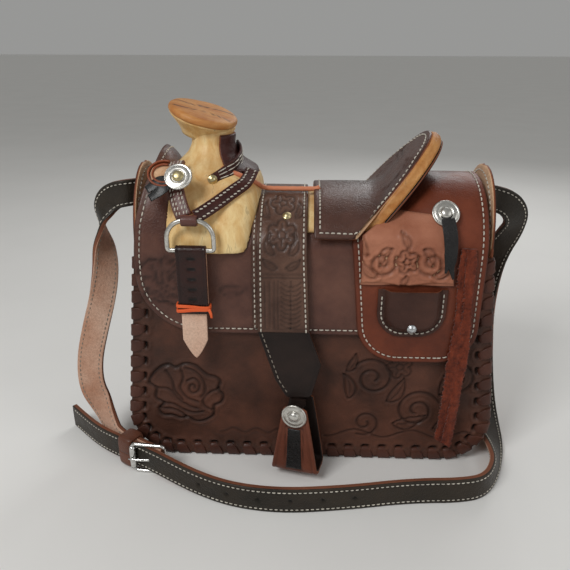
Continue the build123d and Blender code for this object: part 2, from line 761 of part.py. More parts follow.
back_top = spring_z - 9.0               # the back fender hangs below the flap's sweep
for label, side, top in (("", -1, fender_top_z), ("back_", 1, back_top)):
    save(fender_strap(side, top), f"{label}fender_strap")
    save(fender_panel(side), f"{label}fender_panel")
    save(stirrup_hanger(side) - fender_panel(side), f"{label}stirrup_hanger")
    save(stirrup_frame(side), f"{label}stirrup")
    save(stirrup_place(side) * stirrup_bolt_shape(0.0), f"{label}stirrup_bolt")
    save(stirrup_badge(side), f"{label}stirrup_concho")
save(stirrup_inlay(-1), "stirrup_inlay")
fender_hook = slab(fender_left + 4, fender_right - 4, half_depth + skirt_out, fender_in,
                   back_top - 7, back_top)
save(fender_hook, "back_fender_tab")

# ---- shoulder strap: two straps joined by a buckle ----------------------------------
# Each row is a point of the route, then the direction of the strap's width there.
tongue_face = bag_half_top + strap_thick / 2 + 0.1
long_route = [
    ((tongue_face, -16.0, 202.0), (0, 0, 1)),
    ((tongue_face, 1.0, 202.0), (0, 0, 1)),
    ((138.0, 14.0, 201.0), (0, 0, 1)),
    ((152.5, 12.0, 197.0), (0.2, 0, 1)),
    ((162.0, 17.0, 185.0), (0.7, 0, 0.7)),
    ((161.0, 26.0, 170.0), (1, -0.1, 0.2)),
    ((156.0, 34.0, 153.0), (0.95, -0.3, -0.1)),
    ((153.5, 40.0, 131.0), (0.85, -0.5, 0)),
    ((153.0, 43.0, 106.0), (0.8, -0.6, 0)),
    ((154.0, 44.0, 81.0), (0.8, -0.6, 0)),
    ((156.0, 42.0, 56.0), (0.9, -0.4, 0)),
    ((157.5, 35.0, 32.0), (1, -0.1, 0)),
    ((157.5, 19.0, 12.0), (1, 0, 0)),
    ((155.5, -4.0, 5.0), (1, 0, -0.15)),
    ((152.0, -26.0, 7.5), (0.88, 0, -0.45)),
    ((148.0, -48.0, 10.2), (0.6, 0, -0.8)),
    ((142.5, -70.0, 10.5), (0.2, 0, -1)),
    ((129.0, -90.0, 10.1), (0, 0, -1)),
    ((108.0, -95.0, 10.1), (0, 0, -1)),
    ((86.0, -96.0, 10.1), (0, 0, -1)),
    ((62.0, -99.0, 10.1), (0, 0, -1)),
    ((38.0, -103.7, 10.1), (0, 0, -1)),
    ((12.0, -107.5, 10.1), (0, 0, -1)),
    ((-13.0, -110.0, 10.1), (0, 0, -1)),
    ((-36.0, -109.0, 10.1), (0, 0, -1)),
    ((-58.0, -104.5, 10.1), (0, 0, -1)),
    ((-79.0, -96.0, 10.6), (0, 0, -1)),
    ((-98.0, -86.5, 12.2), (0, 0, -1)),
    ((-112.0, -78.8, 13.7), (0, 0, -1)),
    ((-132.0, -67.0, 13.7), (0, 0, -1)),
    ((-151.0, -56.1, 13.4), (0, 0, -1)),
    ((-168.0, -44.4, 12.0), (0, 0, -1)),
    ((-185.0, -28.5, 10.6), (0, 0, -1)),
    ((-202.0, -11.5, 10.1), (0, 0, -1)),
]
short_route = [
    ((-tongue_face, 15.0, 206.0), (0, 0, 1)),
    ((-tongue_face, -2.0, 206.5), (0, 0, 1)),
    ((-138.5, -13.0, 207.5), (0, 0, 1)),
    ((-151.5, -9.0, 204.0), (-0.2, 0, 1)),
    ((-160.5, -7.0, 193.0), (-0.5, 0.5, 0.7)),
    ((-162.0, -8.0, 178.0), (-0.2, 0.95, 0.1)),
    ((-161.0, -10.0, 163.0), (0.5, 0.85, 0)),
    ((-160.5, -13.0, 147.0), (0.8, 0.6, 0)),
    ((-163.5, -18.5, 125.0), (0.95, 0.3, 0)),
    ((-170.0, -25.0, 101.0), (1, 0.1, 0)),
    ((-175.5, -30.5, 77.0), (1, 0, 0)),
    ((-175.0, -35.5, 56.0), (0.9, 0.1, 0.4)),
    ((-169.0, -35.6, 40.0), (0.35, 0, 0.95)),
    ((-161.0, -41.4, 25.0), (0.1, 0, 1)),
    ((-152.5, -49.0, 14.2), (0, 0, 1)),
    ((-129.4, -62.7, 13.7), (0, 0, 1)),
    ((-111.3, -73.3, 13.7), (0, 0, 1)),
]


def bend_radii(points):
    """Radius of the arc at each inner point: as large as its two runs allow."""
    radii = []
    for a, b, c in zip(points, points[1:], points[2:]):
        first = Vector(*b) - Vector(*a)
        second = Vector(*c) - Vector(*b)
        half_turn = math.radians(first.get_angle(second)) / 2
        radii.append(0.45 * min(first.length, second.length) / math.tan(half_turn))
    return radii


def strap_along(route, name):
    """Flat strap over a route, its width turning smoothly from point to point."""
    points = [row[0] for row in route]
    widths = [Vector(*row[1]).normalized() for row in route]
    radii = bend_radii(points)
    print(name, "radii", [round(r, 1) for r in radii])
    path = FilletPolyline(*points, radius=radii)
    marks = [0.0]
    for a, b in zip(points, points[1:]):
        marks.append(marks[-1] + (Vector(*b) - Vector(*a)).length)

    def across(t):
        """Width direction at a fraction of the whole length."""
        at = t * marks[-1]
        for low, high, w0, w1 in zip(marks, marks[1:], widths, widths[1:]):
            if at <= high:
                share = (at - low) / (high - low)
                return w0 * (1 - share) + w1 * share
        return widths[-1]

    solid = ribbon(path, 5 * len(points), across, strap_width, strap_thick)
    straight = path.length * strap_width * strap_thick
    print(name, "length", round(path.length, 1), "volume / section x length",
          round(solid.volume / straight, 3))
    return solid, path


long_strap, long_path = strap_along(long_route, "long strap")
short_strap, short_path = strap_along(short_route, "short strap")

# The buckle's axes: X along the strap towards its tip, Y away from the bag, Z up.
strap_way = Vector(-20.0, 11.8, 0).normalized()
buckle = Plane(origin=(-123.0, -72.31, 13.7), x_dir=strap_way, z_dir=(0, 0, 1))
fold_out = buckle_wire + gap + 1.5              # outer radius of the strap's fold
heel_x = -buckle_length / 2
heel_y = -(strap_thick / 2 + gap + fold_out)
roller_radius = buckle_wire + 0.9
bar_x = buckle_length / 2
bar_y = strap_thick / 2 + gap + roller_radius
rail_z = strap_width / 2 + gap + buckle_wire
heel_at = buckle * Pos(heel_x, heel_y, 0)
bar_at = buckle * Pos(bar_x, bar_y, 0)
rail_slope = math.degrees(math.atan2(bar_y - heel_y, bar_x - heel_x))
rail_length = math.hypot(bar_x - heel_x, bar_y - heel_y) + 2 * buckle_wire
rail = Box(rail_length, 2 * buckle_wire, 2 * buckle_wire)
buckle_frame = heel_at * Cylinder(buckle_wire, 2 * rail_z)
buckle_frame += bar_at * Cylinder(roller_radius, 2 * (rail_z - buckle_wire))
for level in (-rail_z, rail_z):
    middle = Pos((heel_x + bar_x) / 2, (heel_y + bar_y) / 2, level)
    buckle_frame += buckle * middle * Rot(0, 0, rail_slope) * rail
save(buckle_frame, "buckle_frame")

# Prong: an eye on the heel bar and a tongue that lies over the roller.
prong_half = 1.1
eye_in = buckle_wire + gap
prong_over = math.asin((roller_radius + prong_half + 0.1)
                       / math.hypot(bar_x - heel_x, bar_y - heel_y))
prong_turn = rail_slope + math.degrees(prong_over)
prong_length = buckle_length + 5.5
prong = Cylinder(eye_in + 1.2, 2 * prong_half)
prong += Rot(0, 0, prong_turn) * Pos(prong_length / 2, 0, 0) * Box(
    prong_length, 2 * prong_half, 2 * prong_half
)
save(heel_at * (prong - Cylinder(eye_in, big)), "buckle_prong")

# The short strap's end is folded round the heel bar, with a slot for the prong; the long
# strap has the same slot and a row of punched holes.
slot_x = heel_x + buckle_length * 0.25
slot = buckle * Pos(slot_x, heel_y / 2, 0) * Box(
    buckle_length * 0.85, -heel_y + 2 * strap_thick, 2 * (prong_half + gap)
)
short_strap = short_strap + heel_at * Cylinder(fold_out, strap_width)
short_strap = short_strap - heel_at * Cylinder(eye_in, big) - slot
long_strap = long_strap - slot
hole_pitch = 23.0
holes_start = 150.0                             # from the strap's tip to its first hole
for i in range(6):
    back = 1 - (holes_start + hole_pitch * i) / long_path.length
    spot = Plane(origin=long_path @ back, z_dir=Vector(0, 0, 1).cross(long_path % back))
    long_strap = long_strap - spot * Cylinder(strap_hole / 2, 4 * strap_thick)
save(long_strap, "long_strap")
save(short_strap, "short_strap")

# Keeper: leather ring round both straps, beside the buckle.
keeper_in = 2 * strap_thick + 5 * gap + 1.3
keeper_high = strap_width + 2 * gap + 0.2
keeper_ring = Box(keeper_width, keeper_in + 2 * keeper_wall, keeper_high + 2 * keeper_wall)
keeper_ring -= Box(2 * keeper_width, keeper_in, keeper_high)
keeper_at = buckle * Pos(bar_x + 3.0 + keeper_width / 2, heel_y / 2 + 0.3, 0)
save(keeper_at * keeper_ring, "strap_keeper")

# Rivets that hold the straps to the gussets' tongues.
anchor_rivets = []
for sign, y, route in ((1, -11.5, long_route), (-1, 11.0, short_route)):
    face = Plane(origin=(sign * (tongue_face + strap_thick / 2), y, route[0][0][2]),
                 x_dir=(0, 1, 0), z_dir=(sign, 0, 0))
    anchor_rivets.append(face * rivet())
save(Compound(children=anchor_rivets), "anchor_rivets")
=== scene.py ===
"""Looks of a miniature western saddle that is the flap of a laced leather bag."""

import logging
import math
import random
from collections.abc import Callable, Sequence
from dataclasses import dataclass, field
from enum import Enum

import bmesh
import bpy
import numpy as np
from mathutils import Matrix, Vector

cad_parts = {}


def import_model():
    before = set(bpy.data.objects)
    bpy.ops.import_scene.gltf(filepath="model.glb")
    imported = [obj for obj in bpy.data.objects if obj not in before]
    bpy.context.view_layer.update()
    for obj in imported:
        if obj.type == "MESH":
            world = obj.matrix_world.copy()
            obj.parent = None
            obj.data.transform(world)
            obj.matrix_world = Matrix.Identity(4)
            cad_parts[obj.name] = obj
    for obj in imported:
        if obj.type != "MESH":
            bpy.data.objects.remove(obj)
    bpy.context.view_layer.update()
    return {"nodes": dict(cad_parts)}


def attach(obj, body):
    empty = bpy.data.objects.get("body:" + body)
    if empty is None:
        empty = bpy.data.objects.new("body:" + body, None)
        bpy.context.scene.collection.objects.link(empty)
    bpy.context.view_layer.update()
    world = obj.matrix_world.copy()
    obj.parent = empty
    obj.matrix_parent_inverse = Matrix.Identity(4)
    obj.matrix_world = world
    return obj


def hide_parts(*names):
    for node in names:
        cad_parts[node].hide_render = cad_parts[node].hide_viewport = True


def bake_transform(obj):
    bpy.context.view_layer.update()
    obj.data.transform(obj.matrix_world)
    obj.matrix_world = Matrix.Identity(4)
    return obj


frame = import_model()

LOG = logging.getLogger("saddle")
MM = 0.001
MIRROR = np.array([1.0, -1.0, 1.0])
Points = np.ndarray
Edge = float | Callable[[Points], Points]


# ---- lines --------------------------------------------------------------------------
def unit(ways: Points) -> Points:
    """Directions scaled to a length of one."""
    return ways / np.linalg.norm(ways, axis=-1, keepdims=True)


def tangents(path: Points) -> Points:
    """Unit directions along a path."""
    return unit(np.gradient(path, axis=0))


def square_to(ways: Points, along: Points) -> Points:
    """Unit directions nearest to ways that are square to along."""
    return unit(ways - along * np.sum(ways * along, axis=-1, keepdims=True))


def travel(path: Points) -> Points:
    """Distance of each point of a path from its start."""
    return np.concatenate([[0.0], np.cumsum(np.linalg.norm(np.diff(path, axis=0), axis=1))])


def read(at: Points, marks: Points, rows: Points) -> Points:
    """Rows read between their marks at one or more places."""
    return np.stack([np.interp(at, marks, rows[:, k]) for k in range(rows.shape[1])], -1)


def settle(rows: Points, times: int) -> None:
    """Averages each row with its neighbours, in place, the ends staying."""
    for _ in range(times):
        rows[1:-1] = (rows[:-2] + 2 * rows[1:-1] + rows[2:]) / 4


def resample(path: Points, step: float) -> Points:
    """Points spaced evenly, about step apart, along a polyline.

    Args:
        path: its points, rows of any number of coordinates.
        step: distance wanted between points.

    Returns:
        The new points.
    """
    path = np.asarray(path, float)
    marks = travel(path)
    return read(np.linspace(0, marks[-1], max(2, round(marks[-1] / step) + 1)), marks, path)


def smooth_line(points: Sequence, step: float = 1.0) -> Points:
    """Even points along a Catmull-Rom curve.

    Args:
        points: the points that it goes through.
        step: distance between the points that come back.

    Returns:
        Points of the curve.
    """
    p = np.asarray(points, float)
    p = np.vstack([2 * p[0] - p[1], p, 2 * p[-1] - p[-2]])
    t = np.linspace(0, 1, 12, endpoint=False)[:, None]
    pieces = [
        0.5 * (2 * b + (c - a) * t + (2 * a - 5 * b + 4 * c - d) * t**2
               + (3 * b - a - 3 * c + d) * t**3)
        for a, b, c, d in zip(p, p[1:], p[2:], p[3:])
    ]
    return resample(np.vstack([*pieces, p[-2:-1]]), step)


def line_distance(x: Points, z: Points, line: Points) -> Points:
    """Distance from every point (x, z) to a polyline, exact only within 6 mm of it.

    Args:
        x: first coordinates, in mm.
        z: second coordinates, of the same shape.
        line: points of the polyline.

    Returns:
        Distances in mm, 99 where the line is far.
    """
    line = np.asarray(line, float)
    far = np.full(x.shape, 99.0)
    low, high = line.min(0) - 6, line.max(0) + 6
    near = (x > low[0]) & (x < high[0]) & (z > low[1]) & (z < high[1])
    px, pz = x[near], z[near]
    best = np.full(px.shape, 99.0)
    for (ax, az), (bx, bz) in zip(line, line[1:]):
        dx, dz = bx - ax, bz - az
        t = np.clip(((px - ax) * dx + (pz - az) * dz) / (dx * dx + dz * dz + 1e-9), 0, 1)
        best = np.minimum(best, np.hypot(px - ax - t * dx, pz - az - t * dz))
    far[near] = best
    return far


def circle(x: float, z: float, radius: Points, turn: Points) -> Points:
    """Points round (x, z) at radii and angles."""
    return np.stack([x + radius * np.cos(turn), z + radius * np.sin(turn)], -1)


def squared(turn: float, power: float) -> tuple[float, float]:
    """Point at an angle on a rounded square, squarer for a higher power.

    Args:
        turn: angle in radians.
        power: 2 for a circle, more for squarer.

    Returns:
        Its two coordinates, at most 1.
    """
    c, s = math.cos(turn), math.sin(turn)
    k = (abs(c) ** power + abs(s) ** power) ** (-1 / power)
    return k * c, k * s


def ridge(distance: Points, middle: float, width: float) -> Points:
    """Bell curve over a distance, 1 at its middle, for a groove or a dark line."""
    return np.exp(-(((distance - middle) / width) ** 2))


def rolled(distance: Points, radius: float = 1.1) -> Points:
    """How far an edge is rounded down at a distance in from it."""
    return radius - np.sqrt(radius**2 - np.clip(radius - distance, 0, radius) ** 2)


def edge_steps(length: float, step: float) -> Points:
    """Places from 0 to length, close together at both ends so that an edge can round.

    Args:
        length: the last place, in mm.
        step: distance between places away from the ends.

    Returns:
        The places.
    """
    rim = np.array([0.0, 0.2, 0.55, 1.1, 1.9])
    count = max(2, int((length - 2 * rim[-1]) / step))
    core = np.linspace(rim[-1], length - rim[-1], count + 1)[1:-1]
    return np.concatenate([rim, core, length - rim[::-1]])


def spread(left: Points, right: Points, width: float, step: float) -> Points:
    """Grid of places from left to right of each row, in steps that suit a width."""
    share = edge_steps(width, step) / width
    return left[:, None] + (right - left)[:, None] * share


def rim_away(x: Points, z: Points) -> Points:
    """Distance of a grid's points in from its sides and ends, x being theirs and z the rows'."""
    ends = np.minimum(z - z[0], z[-1] - z)[:, None]
    return np.minimum(np.minimum(x - x[:, :1], x[:, -1:] - x), ends)


def round_section(radius: float, count: int = 10, flat: float = 1.0) -> Points:
    """Ellipse of a radius, its second axis scaled by flat."""
    turn = np.linspace(0, 2 * np.pi, count, endpoint=False)
    return np.stack([radius * np.cos(turn), -radius * flat * np.sin(turn)], -1)


def strap_section(width: float, thick: float, corner: float = 0.6) -> Points:
    """Rounded rectangle, its width on the first axis.

    Args:
        width: size on the first axis, in mm.
        thick: size on the second axis.
        corner: radius of the corners.

    Returns:
        Outline as rows of two numbers.
    """
    w, h = width / 2, thick / 2
    c = min(corner, h * 0.95)
    arc = np.linspace(0, np.pi / 2, 4)
    corners = [
        circle(sx * (w - c), sz * (h - c), c, -(arc + quarter * np.pi / 2))
        for quarter, (sx, sz) in enumerate(((1, -1), (-1, -1), (-1, 1), (1, 1)))
    ]
    return np.vstack(corners)


def axes(origin: Sequence, out: Sequence, right: Sequence = (1, 0, 0)) -> Matrix:
    """Axes at an origin with Z along out and X near right, as a 4 x 4 matrix.

    Args:
        origin: their origin, in mm.
        out: direction of Z.
        right: direction that X is near.

    Returns:
        The matrix.
    """
    z = Vector(out).normalized()
    x = (Vector(right) - z * Vector(right).dot(z)).normalized()
    turn = Matrix((x, z.cross(x), z)).transposed()
    return Matrix.Translation(Vector(origin)) @ turn.to_4x4()


# ---- mesh kit -----------------------------------------------------------------------
def quads(at: Points) -> Points:
    """Faces of a grid of point numbers, as rows of four."""
    return np.stack([at[:-1, :-1], at[:-1, 1:], at[1:, 1:], at[1:, :-1]], -1).reshape(-1, 4)


def tube_faces(rows: int, cols: int, close: bool = False) -> list[list[int]]:
    """Faces between rings of points, with a cap at each end unless it closes on itself.

    Args:
        rows: number of rings.
        cols: points in a ring.
        close: True when the last ring joins the first.

    Returns:
        Rows of indices into the points.
    """
    faces = []
    for r in range(rows if close else rows - 1):
        low, high = r * cols, (r + 1) % rows * cols
        for c in range(cols):
            d = (c + 1) % cols
            faces.append([low + c, low + d, high + d, high + c])
    if not close:
        faces += [list(range(cols))[::-1], list(range((rows - 1) * cols, rows * cols))]
    return faces


def put(name: str, data: bpy.types.ID) -> bpy.types.Object:
    """Makes an object of its data and puts it in the scene.

    Args:
        name: the object's name.
        data: its mesh, lamp or camera.

    Returns:
        The object.
    """
    piece = bpy.data.objects.new(name, data)
    bpy.context.scene.collection.objects.link(piece)
    return piece


@dataclass
class Parts:
    """Points and faces gathered into one mesh, each face with a material number."""

    points: list[Points] = field(default_factory=list)
    faces: list[list[int]] = field(default_factory=list)
    slots: list[int] = field(default_factory=list)
    shade: list[Points] = field(default_factory=list)
    count: int = 0

    def add(self, points: Points, faces: Sequence, slot: int | Sequence = 0,
            shade: float | Points = 0.0) -> "Parts":
        """Adds points and the faces between them.

        Args:
            points: rows of x, y, z in mm.
            faces: rows of indices into points.
            slot: material number of the faces, or one number for each.
            shade: darkness mixed into the colour, such as carving dye, and painted shade in holes;
                one number or one for each point.

        Returns:
            The same parts, as from each method that adds to them.
        """
        points = np.asarray(points, float).reshape(-1, 3)
        self.points.append(points)
        self.faces += [[int(i) + self.count for i in face] for face in faces]
        self.slots += [slot] * len(faces) if isinstance(slot, int) else slot
        self.shade.append(np.broadcast_to(np.asarray(shade, float), (len(points),)))
        self.count += len(points)
        return self

    def shell(self, outer: Points, inner: Points, shade: float | Points = 0.0,
              slots: tuple[int, int, int] = (0, 1, 2)) -> "Parts":
        """Adds a closed sheet between two grids.

        Args:
            outer: grid of points of the grain side, rows by columns by 3.
            inner: grid of the same shape for the flesh side.
            shade: darkness mixed into the grain side's colour at each point, such as carving dye,
                and painted shade in holes.
            slots: material numbers of the grain, the flesh and the edge.

        Returns:
            The same parts.
        """
        rows, cols = outer.shape[:2]
        total = rows * cols
        at = np.arange(total).reshape(rows, cols)
        faces = quads(at)
        rim = [*at[:, 0], *at[-1, 1:], *at[-2::-1, -1], *at[0, -2:0:-1]]
        ring = [[a, b, b + total, a + total] for a, b in zip(rim, rim[1:] + rim[:1])]
        kinds = [slots[0]] * len(faces) + [slots[1]] * len(faces) + [slots[2]] * len(ring)
        dark = np.broadcast_to(np.asarray(shade, float), (rows, cols)).reshape(-1)
        points = np.vstack([outer.reshape(-1, 3), inner.reshape(-1, 3)])
        return self.add(points, [*faces, *(faces + total)[:, ::-1], *ring], kinds,
                        np.concatenate([dark, dark * 0]))

    def sweep(self, path: Points, sides: Points | Sequence, section: Points | Sequence[Points],
              slot: int = 0, shade: float = 0.0, close: bool = False) -> "Parts":
        """Adds a section carried along a path.

        Args:
            path: points of the path, in mm.
            sides: direction of the section's first axis, one or one at each point.
            section: outline as rows of two numbers in mm, or one for each point.
            slot: material number.
            shade: darkness.
            close: True for a ring.

        Returns:
            The same parts.
        """
        path = np.asarray(path, float)
        along = unit(np.roll(path, -1, 0) - np.roll(path, 1, 0)) if close else tangents(path)
        sides = square_to(np.broadcast_to(np.asarray(sides, float), path.shape), along)
        ups = np.cross(sides, along)
        turn = np.asarray(section, float)
        if turn.ndim == 2:
            turn = np.repeat(turn[None], len(path), 0)
        points = path[:, None] + sides[:, None] * turn[..., :1] + ups[:, None] * turn[..., 1:]
        return self.add(points, tube_faces(*turn.shape[:2], close), slot, shade)

    def stitches(self, path: Points, out: Points | Sequence, slot: int = 3, pitch: float = 4.0,
                 length: float = 3.0, radius: float = 0.56, slant: float = 0.0) -> "Parts":
        """Adds a row of thread stitches along a line on a surface.

        Args:
            path: points on the surface, in mm.
            out: direction away from the surface, one or one at each point.
            slot: material number of the thread.
            pitch: distance from one stitch to the next.
            length: length of a stitch.
            radius: half its thickness.
            slant: sideways step of a stitch from end to end.

        Returns:
            The same parts.
        """
        path = np.asarray(path, float)
        out = np.broadcast_to(np.asarray(out, float), path.shape)
        marks = travel(path)
        share = np.array([-1.0, -0.82, -0.35, 0.35, 0.82, 1.0])[:, None]
        swell = np.array([0.25, 0.75, 1.0, 1.0, 0.75, 0.25])[:, None, None]
        lift = np.array([-0.9, -0.2, 0.35, 0.35, -0.2, -0.9])[:, None]
        turn = np.linspace(0, 2 * np.pi, 6, endpoint=False)[:, None]
        faces = tube_faces(6, 6)
        for i in range(int((marks[-1] - length) / pitch) + 1):
            at = length / 2 + i * pitch + 0.3
            along = unit(read(at + 1, marks, path) - read(at - 1, marks, path))
            up = square_to(read(at, marks, out), along)
            side = np.cross(along, up)
            middle = (read(at, marks, path) + share * (along * length + side * slant) / 2
                      + lift * up * radius)
            ring = side * np.cos(turn) + up * np.sin(turn)
            self.add(middle[:, None] + radius * swell * ring, faces, slot)
        return self

    def lathe(self, profile: Sequence[tuple[float, float]], place: Matrix, count: int = 28,
              slot: int = 0, ripple: Callable[[Points, Points], Points] | None = None) -> "Parts":
        """Adds a turned shape, its axis along the place's Z.

        Args:
            profile: radius and height pairs, in mm, from the back up and round to the axis.
            place: the turned shape's own axes, its origin in mm.
            count: points in a turn.
            slot: material number.
            ripple: height added at radii and angles.

        Returns:
            The same parts.
        """
        turn = np.linspace(0, 2 * np.pi, count, endpoint=False)
        radius, height = np.array(profile).T[..., None]
        rise = height + (ripple(radius, turn) if ripple else 0 * turn)
        local = np.stack([radius * np.cos(turn), radius * np.sin(turn), rise], -1)
        matrix = np.array(place)
        points = local @ matrix[:3, :3].T + matrix[:3, 3]
        return self.add(points, tube_faces(len(profile), count), slot)

    def mesh(self, name: str) -> bpy.types.Mesh:
        """Makes the mesh, its faces turned outward and shaded smooth.

        Args:
            name: the mesh's name.

        Returns:
            The mesh, in metres.
        """
        mesh = bpy.data.meshes.new(name)
        mesh.from_pydata((np.vstack(self.points) * MM).tolist(), [], self.faces)
        shade = mesh.attributes.new("shade", "FLOAT", "POINT")
        shade.data.foreach_set("value", np.concatenate(self.shade))
        mesh.polygons.foreach_set("material_index", self.slots)
        mesh.polygons.foreach_set("use_smooth", [True] * len(self.faces))
        mould = bmesh.new()
        mould.from_mesh(mesh)
        bmesh.ops.recalc_face_normals(mould, faces=mould.faces)
        mould.to_mesh(mesh)
        mould.free()
        return mesh

    def build(self, name: str, finishes: Sequence["Finish"], body: str,
              *nodes: str) -> bpy.types.Object:
        """Makes the piece, dresses it and lets it ride on a body.

        Args:
            name: the piece's name.
            finishes: one finish for each material number.
            body: the body that it moves with, empty for none.
            nodes: CAD nodes that it stands in for.

        Returns:
            The new piece.
        """
        piece = put(name, self.mesh(name))
        for finish in finishes:
            piece.data.materials.append(finish.material())
        if body:
            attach(piece, body)
        if nodes:
            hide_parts(*nodes)
        LOG.info("%s on %s (%d points)", name, body or "two bodies", self.count)
        return piece


# ---- tooling ------------------------------------------------------------------------
ROSE_EDGE = (
    (-1.04, 0.42), (-0.88, 0.65), (-0.65, 0.85), (-0.44, 0.92), (-0.26, 0.84), (0.0, 0.96),
    (0.27, 0.92), (0.46, 0.76), (0.62, 0.62), (0.86, 0.54), (0.97, 0.40), (0.91, 0.18),
    (1.04, -0.05), (0.96, -0.28), (0.77, -0.38), (0.74, -0.68), (0.60, -0.82), (0.38, -0.92),
    (0.18, -0.91), (0.0, -0.78), (-0.23, -0.82), (-0.46, -0.73), (-0.73, -0.74),
    (-0.82, -0.5), (-0.66, -0.32), (-0.88, -0.18), (-0.86, 0.05), (-0.85, 0.18),
    (-1.03, 0.30), (-1.04, 0.42),
)
ROSE_PETALS = (
    ((-0.85, 0.19), (-0.46, 0.12), (-0.23, -0.19), (0.08, -0.42), (0.31, -0.50)),
    ((-0.54, 0.73), (-0.38, 0.42), (-0.33, 0.12), (-0.12, -0.19)),
    ((-0.12, 0.81), (-0.07, 0.50), (-0.17, 0.19), (0.0, -0.12), (0.31, -0.27)),
    ((0.0, 0.85), (0.31, 0.71), (0.50, 0.42), (0.54, 0.10), (0.40, -0.10)),
    ((0.92, 0.19), (0.64, 0.04), (0.46, -0.19), (0.52, -0.42), (0.73, -0.52)),
    ((-0.81, -0.50), (-0.54, -0.50), (-0.25, -0.58), (-0.02, -0.77)),
    ((-0.65, -0.31), (-0.38, -0.36), (-0.15, -0.51), (0.15, -0.62), (0.46, -0.58)),
    ((0.04, 0.42), (0.23, 0.50), (0.38, 0.35), (0.34, 0.12), (0.19, 0.02), (0.08, 0.12),
     (0.12, 0.27), (0.22, 0.30), (0.25, 0.19)),
)


@dataclass
class Tooling:
    """Carved lines on leather: their relief in mm and how dark the dye lies in them; in punched
    holes the darkness is painted shade.
    """

    lines: list[tuple[Points, float, float]] = field(default_factory=list)
    mounds: list[tuple[float, float, float, float]] = field(default_factory=list)

    def cut(self, line: Sequence, width: float = 0.9, depth: float = 0.6) -> None:
        """Adds one carved line."""
        self.lines.append((np.asarray(line, float), width, depth))

    def at(self, x: Points, z: Points) -> tuple[Points, Points]:
        """Relief and darkness at points of the leather.

        Args:
            x: first coordinates, in mm.
            z: second coordinates, of the same shape.

        Returns:
            Height in mm and darkness from 0 to 1.
        """
        height, dark = np.zeros(x.shape), np.zeros(x.shape)
        for mx, mz, radius, rise in self.mounds:
            height += rise * np.clip(1 - (np.hypot(x - mx, z - mz) / radius) ** 4, 0, 1)
        for line, width, depth in self.lines:
            away = line_distance(x, z, line)
            groove = ridge(away, 0, width)
            height += depth * (0.5 * ridge(away, 2.2 * width, 1.1 * width) - groove)
            dark = np.maximum(dark, min(1.0, 0.25 + 0.6 * depth) * groove)
        return height, dark

    def rose(self, x: float, z: float, radius: float) -> None:
        """Carves a rose: a wavy outline, folded petals and a curled heart.

        Args:
            x: its middle along the leather.
            z: its middle up the leather.
            radius: its radius in mm.
        """
        for rank, row in enumerate((ROSE_EDGE, *ROSE_PETALS)):
            line = smooth_line(row, 0.05) * radius + (x, z)
            self.cut(line, *((0.95, 0.75) if rank else (1.15, 1.0)))
        self.mounds.append((x, z, radius * 1.1, 0.9))

    def scroll(self, x: float, z: float, radius: float, first: float, turns: float,
               depth: float = 0.5) -> None:
        """Carves a spiral that winds in.

        Args:
            x: its middle's first coordinate.
            z: its middle's second coordinate.
            radius: radius of its first turn.
            first: angle that it starts at.
            turns: how many turns it takes, negative to go round the other way.
            depth: depth of the line.
        """
        t = np.linspace(0, 1, int(30 * abs(turns)) + 8)
        turn = first + 2 * math.pi * turns * t
        self.cut(circle(x, z, radius * (1 - 0.82 * t), turn), 1.0, depth)

    def leaf(self, x: float, z: float, length: float, angle: float, bend: float = 0.5,
             depth: float = 0.5) -> None:
        """Carves a bent leaf with a middle vein.

        Args:
            x: its stem's first coordinate.
            z: its stem's second coordinate.
            length: length of the leaf.
            angle: its direction at the stem.
            bend: how far it turns from stem to tip.
            depth: depth of its outline.
        """
        t = np.linspace(0, 1, 16)
        turn = angle + bend * t
        vein = circle(x, z, length * t, turn)
        side = np.stack([-np.sin(turn), np.cos(turn)], -1)
        side *= 0.2 * length * np.sin(np.pi * t**0.8)[:, None]
        self.cut(vein + side, 0.8, depth)
        self.cut(vein - side, 0.8, depth)
        self.cut(vein[2:-2], 0.6, depth * 0.6)

    def flower(self, x: float, z: float, radius: float, petals: int = 5,
               depth: float = 0.5) -> None:
        """Carves an open flower round a small ring.

        Args:
            x: its middle's first coordinate.
            z: its middle's second coordinate.
            radius: radius to the petals' tips.
            petals: how many petals it has.
            depth: depth of its outline.
        """
        turn = np.linspace(0, 2 * np.pi, 16 * petals)
        rim = radius * (0.62 + 0.38 * np.abs(np.sin(petals * turn / 2)) ** 0.7)
        self.cut(circle(x, z, rim, turn), 0.8, depth)
        self.cut(circle(x, z, radius * 0.27, turn), 0.6, depth)
        for k in range(petals):
            ray = radius * np.array([0.36, 0.72])
            self.cut(circle(x, z, ray, 2 * math.pi * (k + 0.5) / petals), 0.6, depth * 0.7)


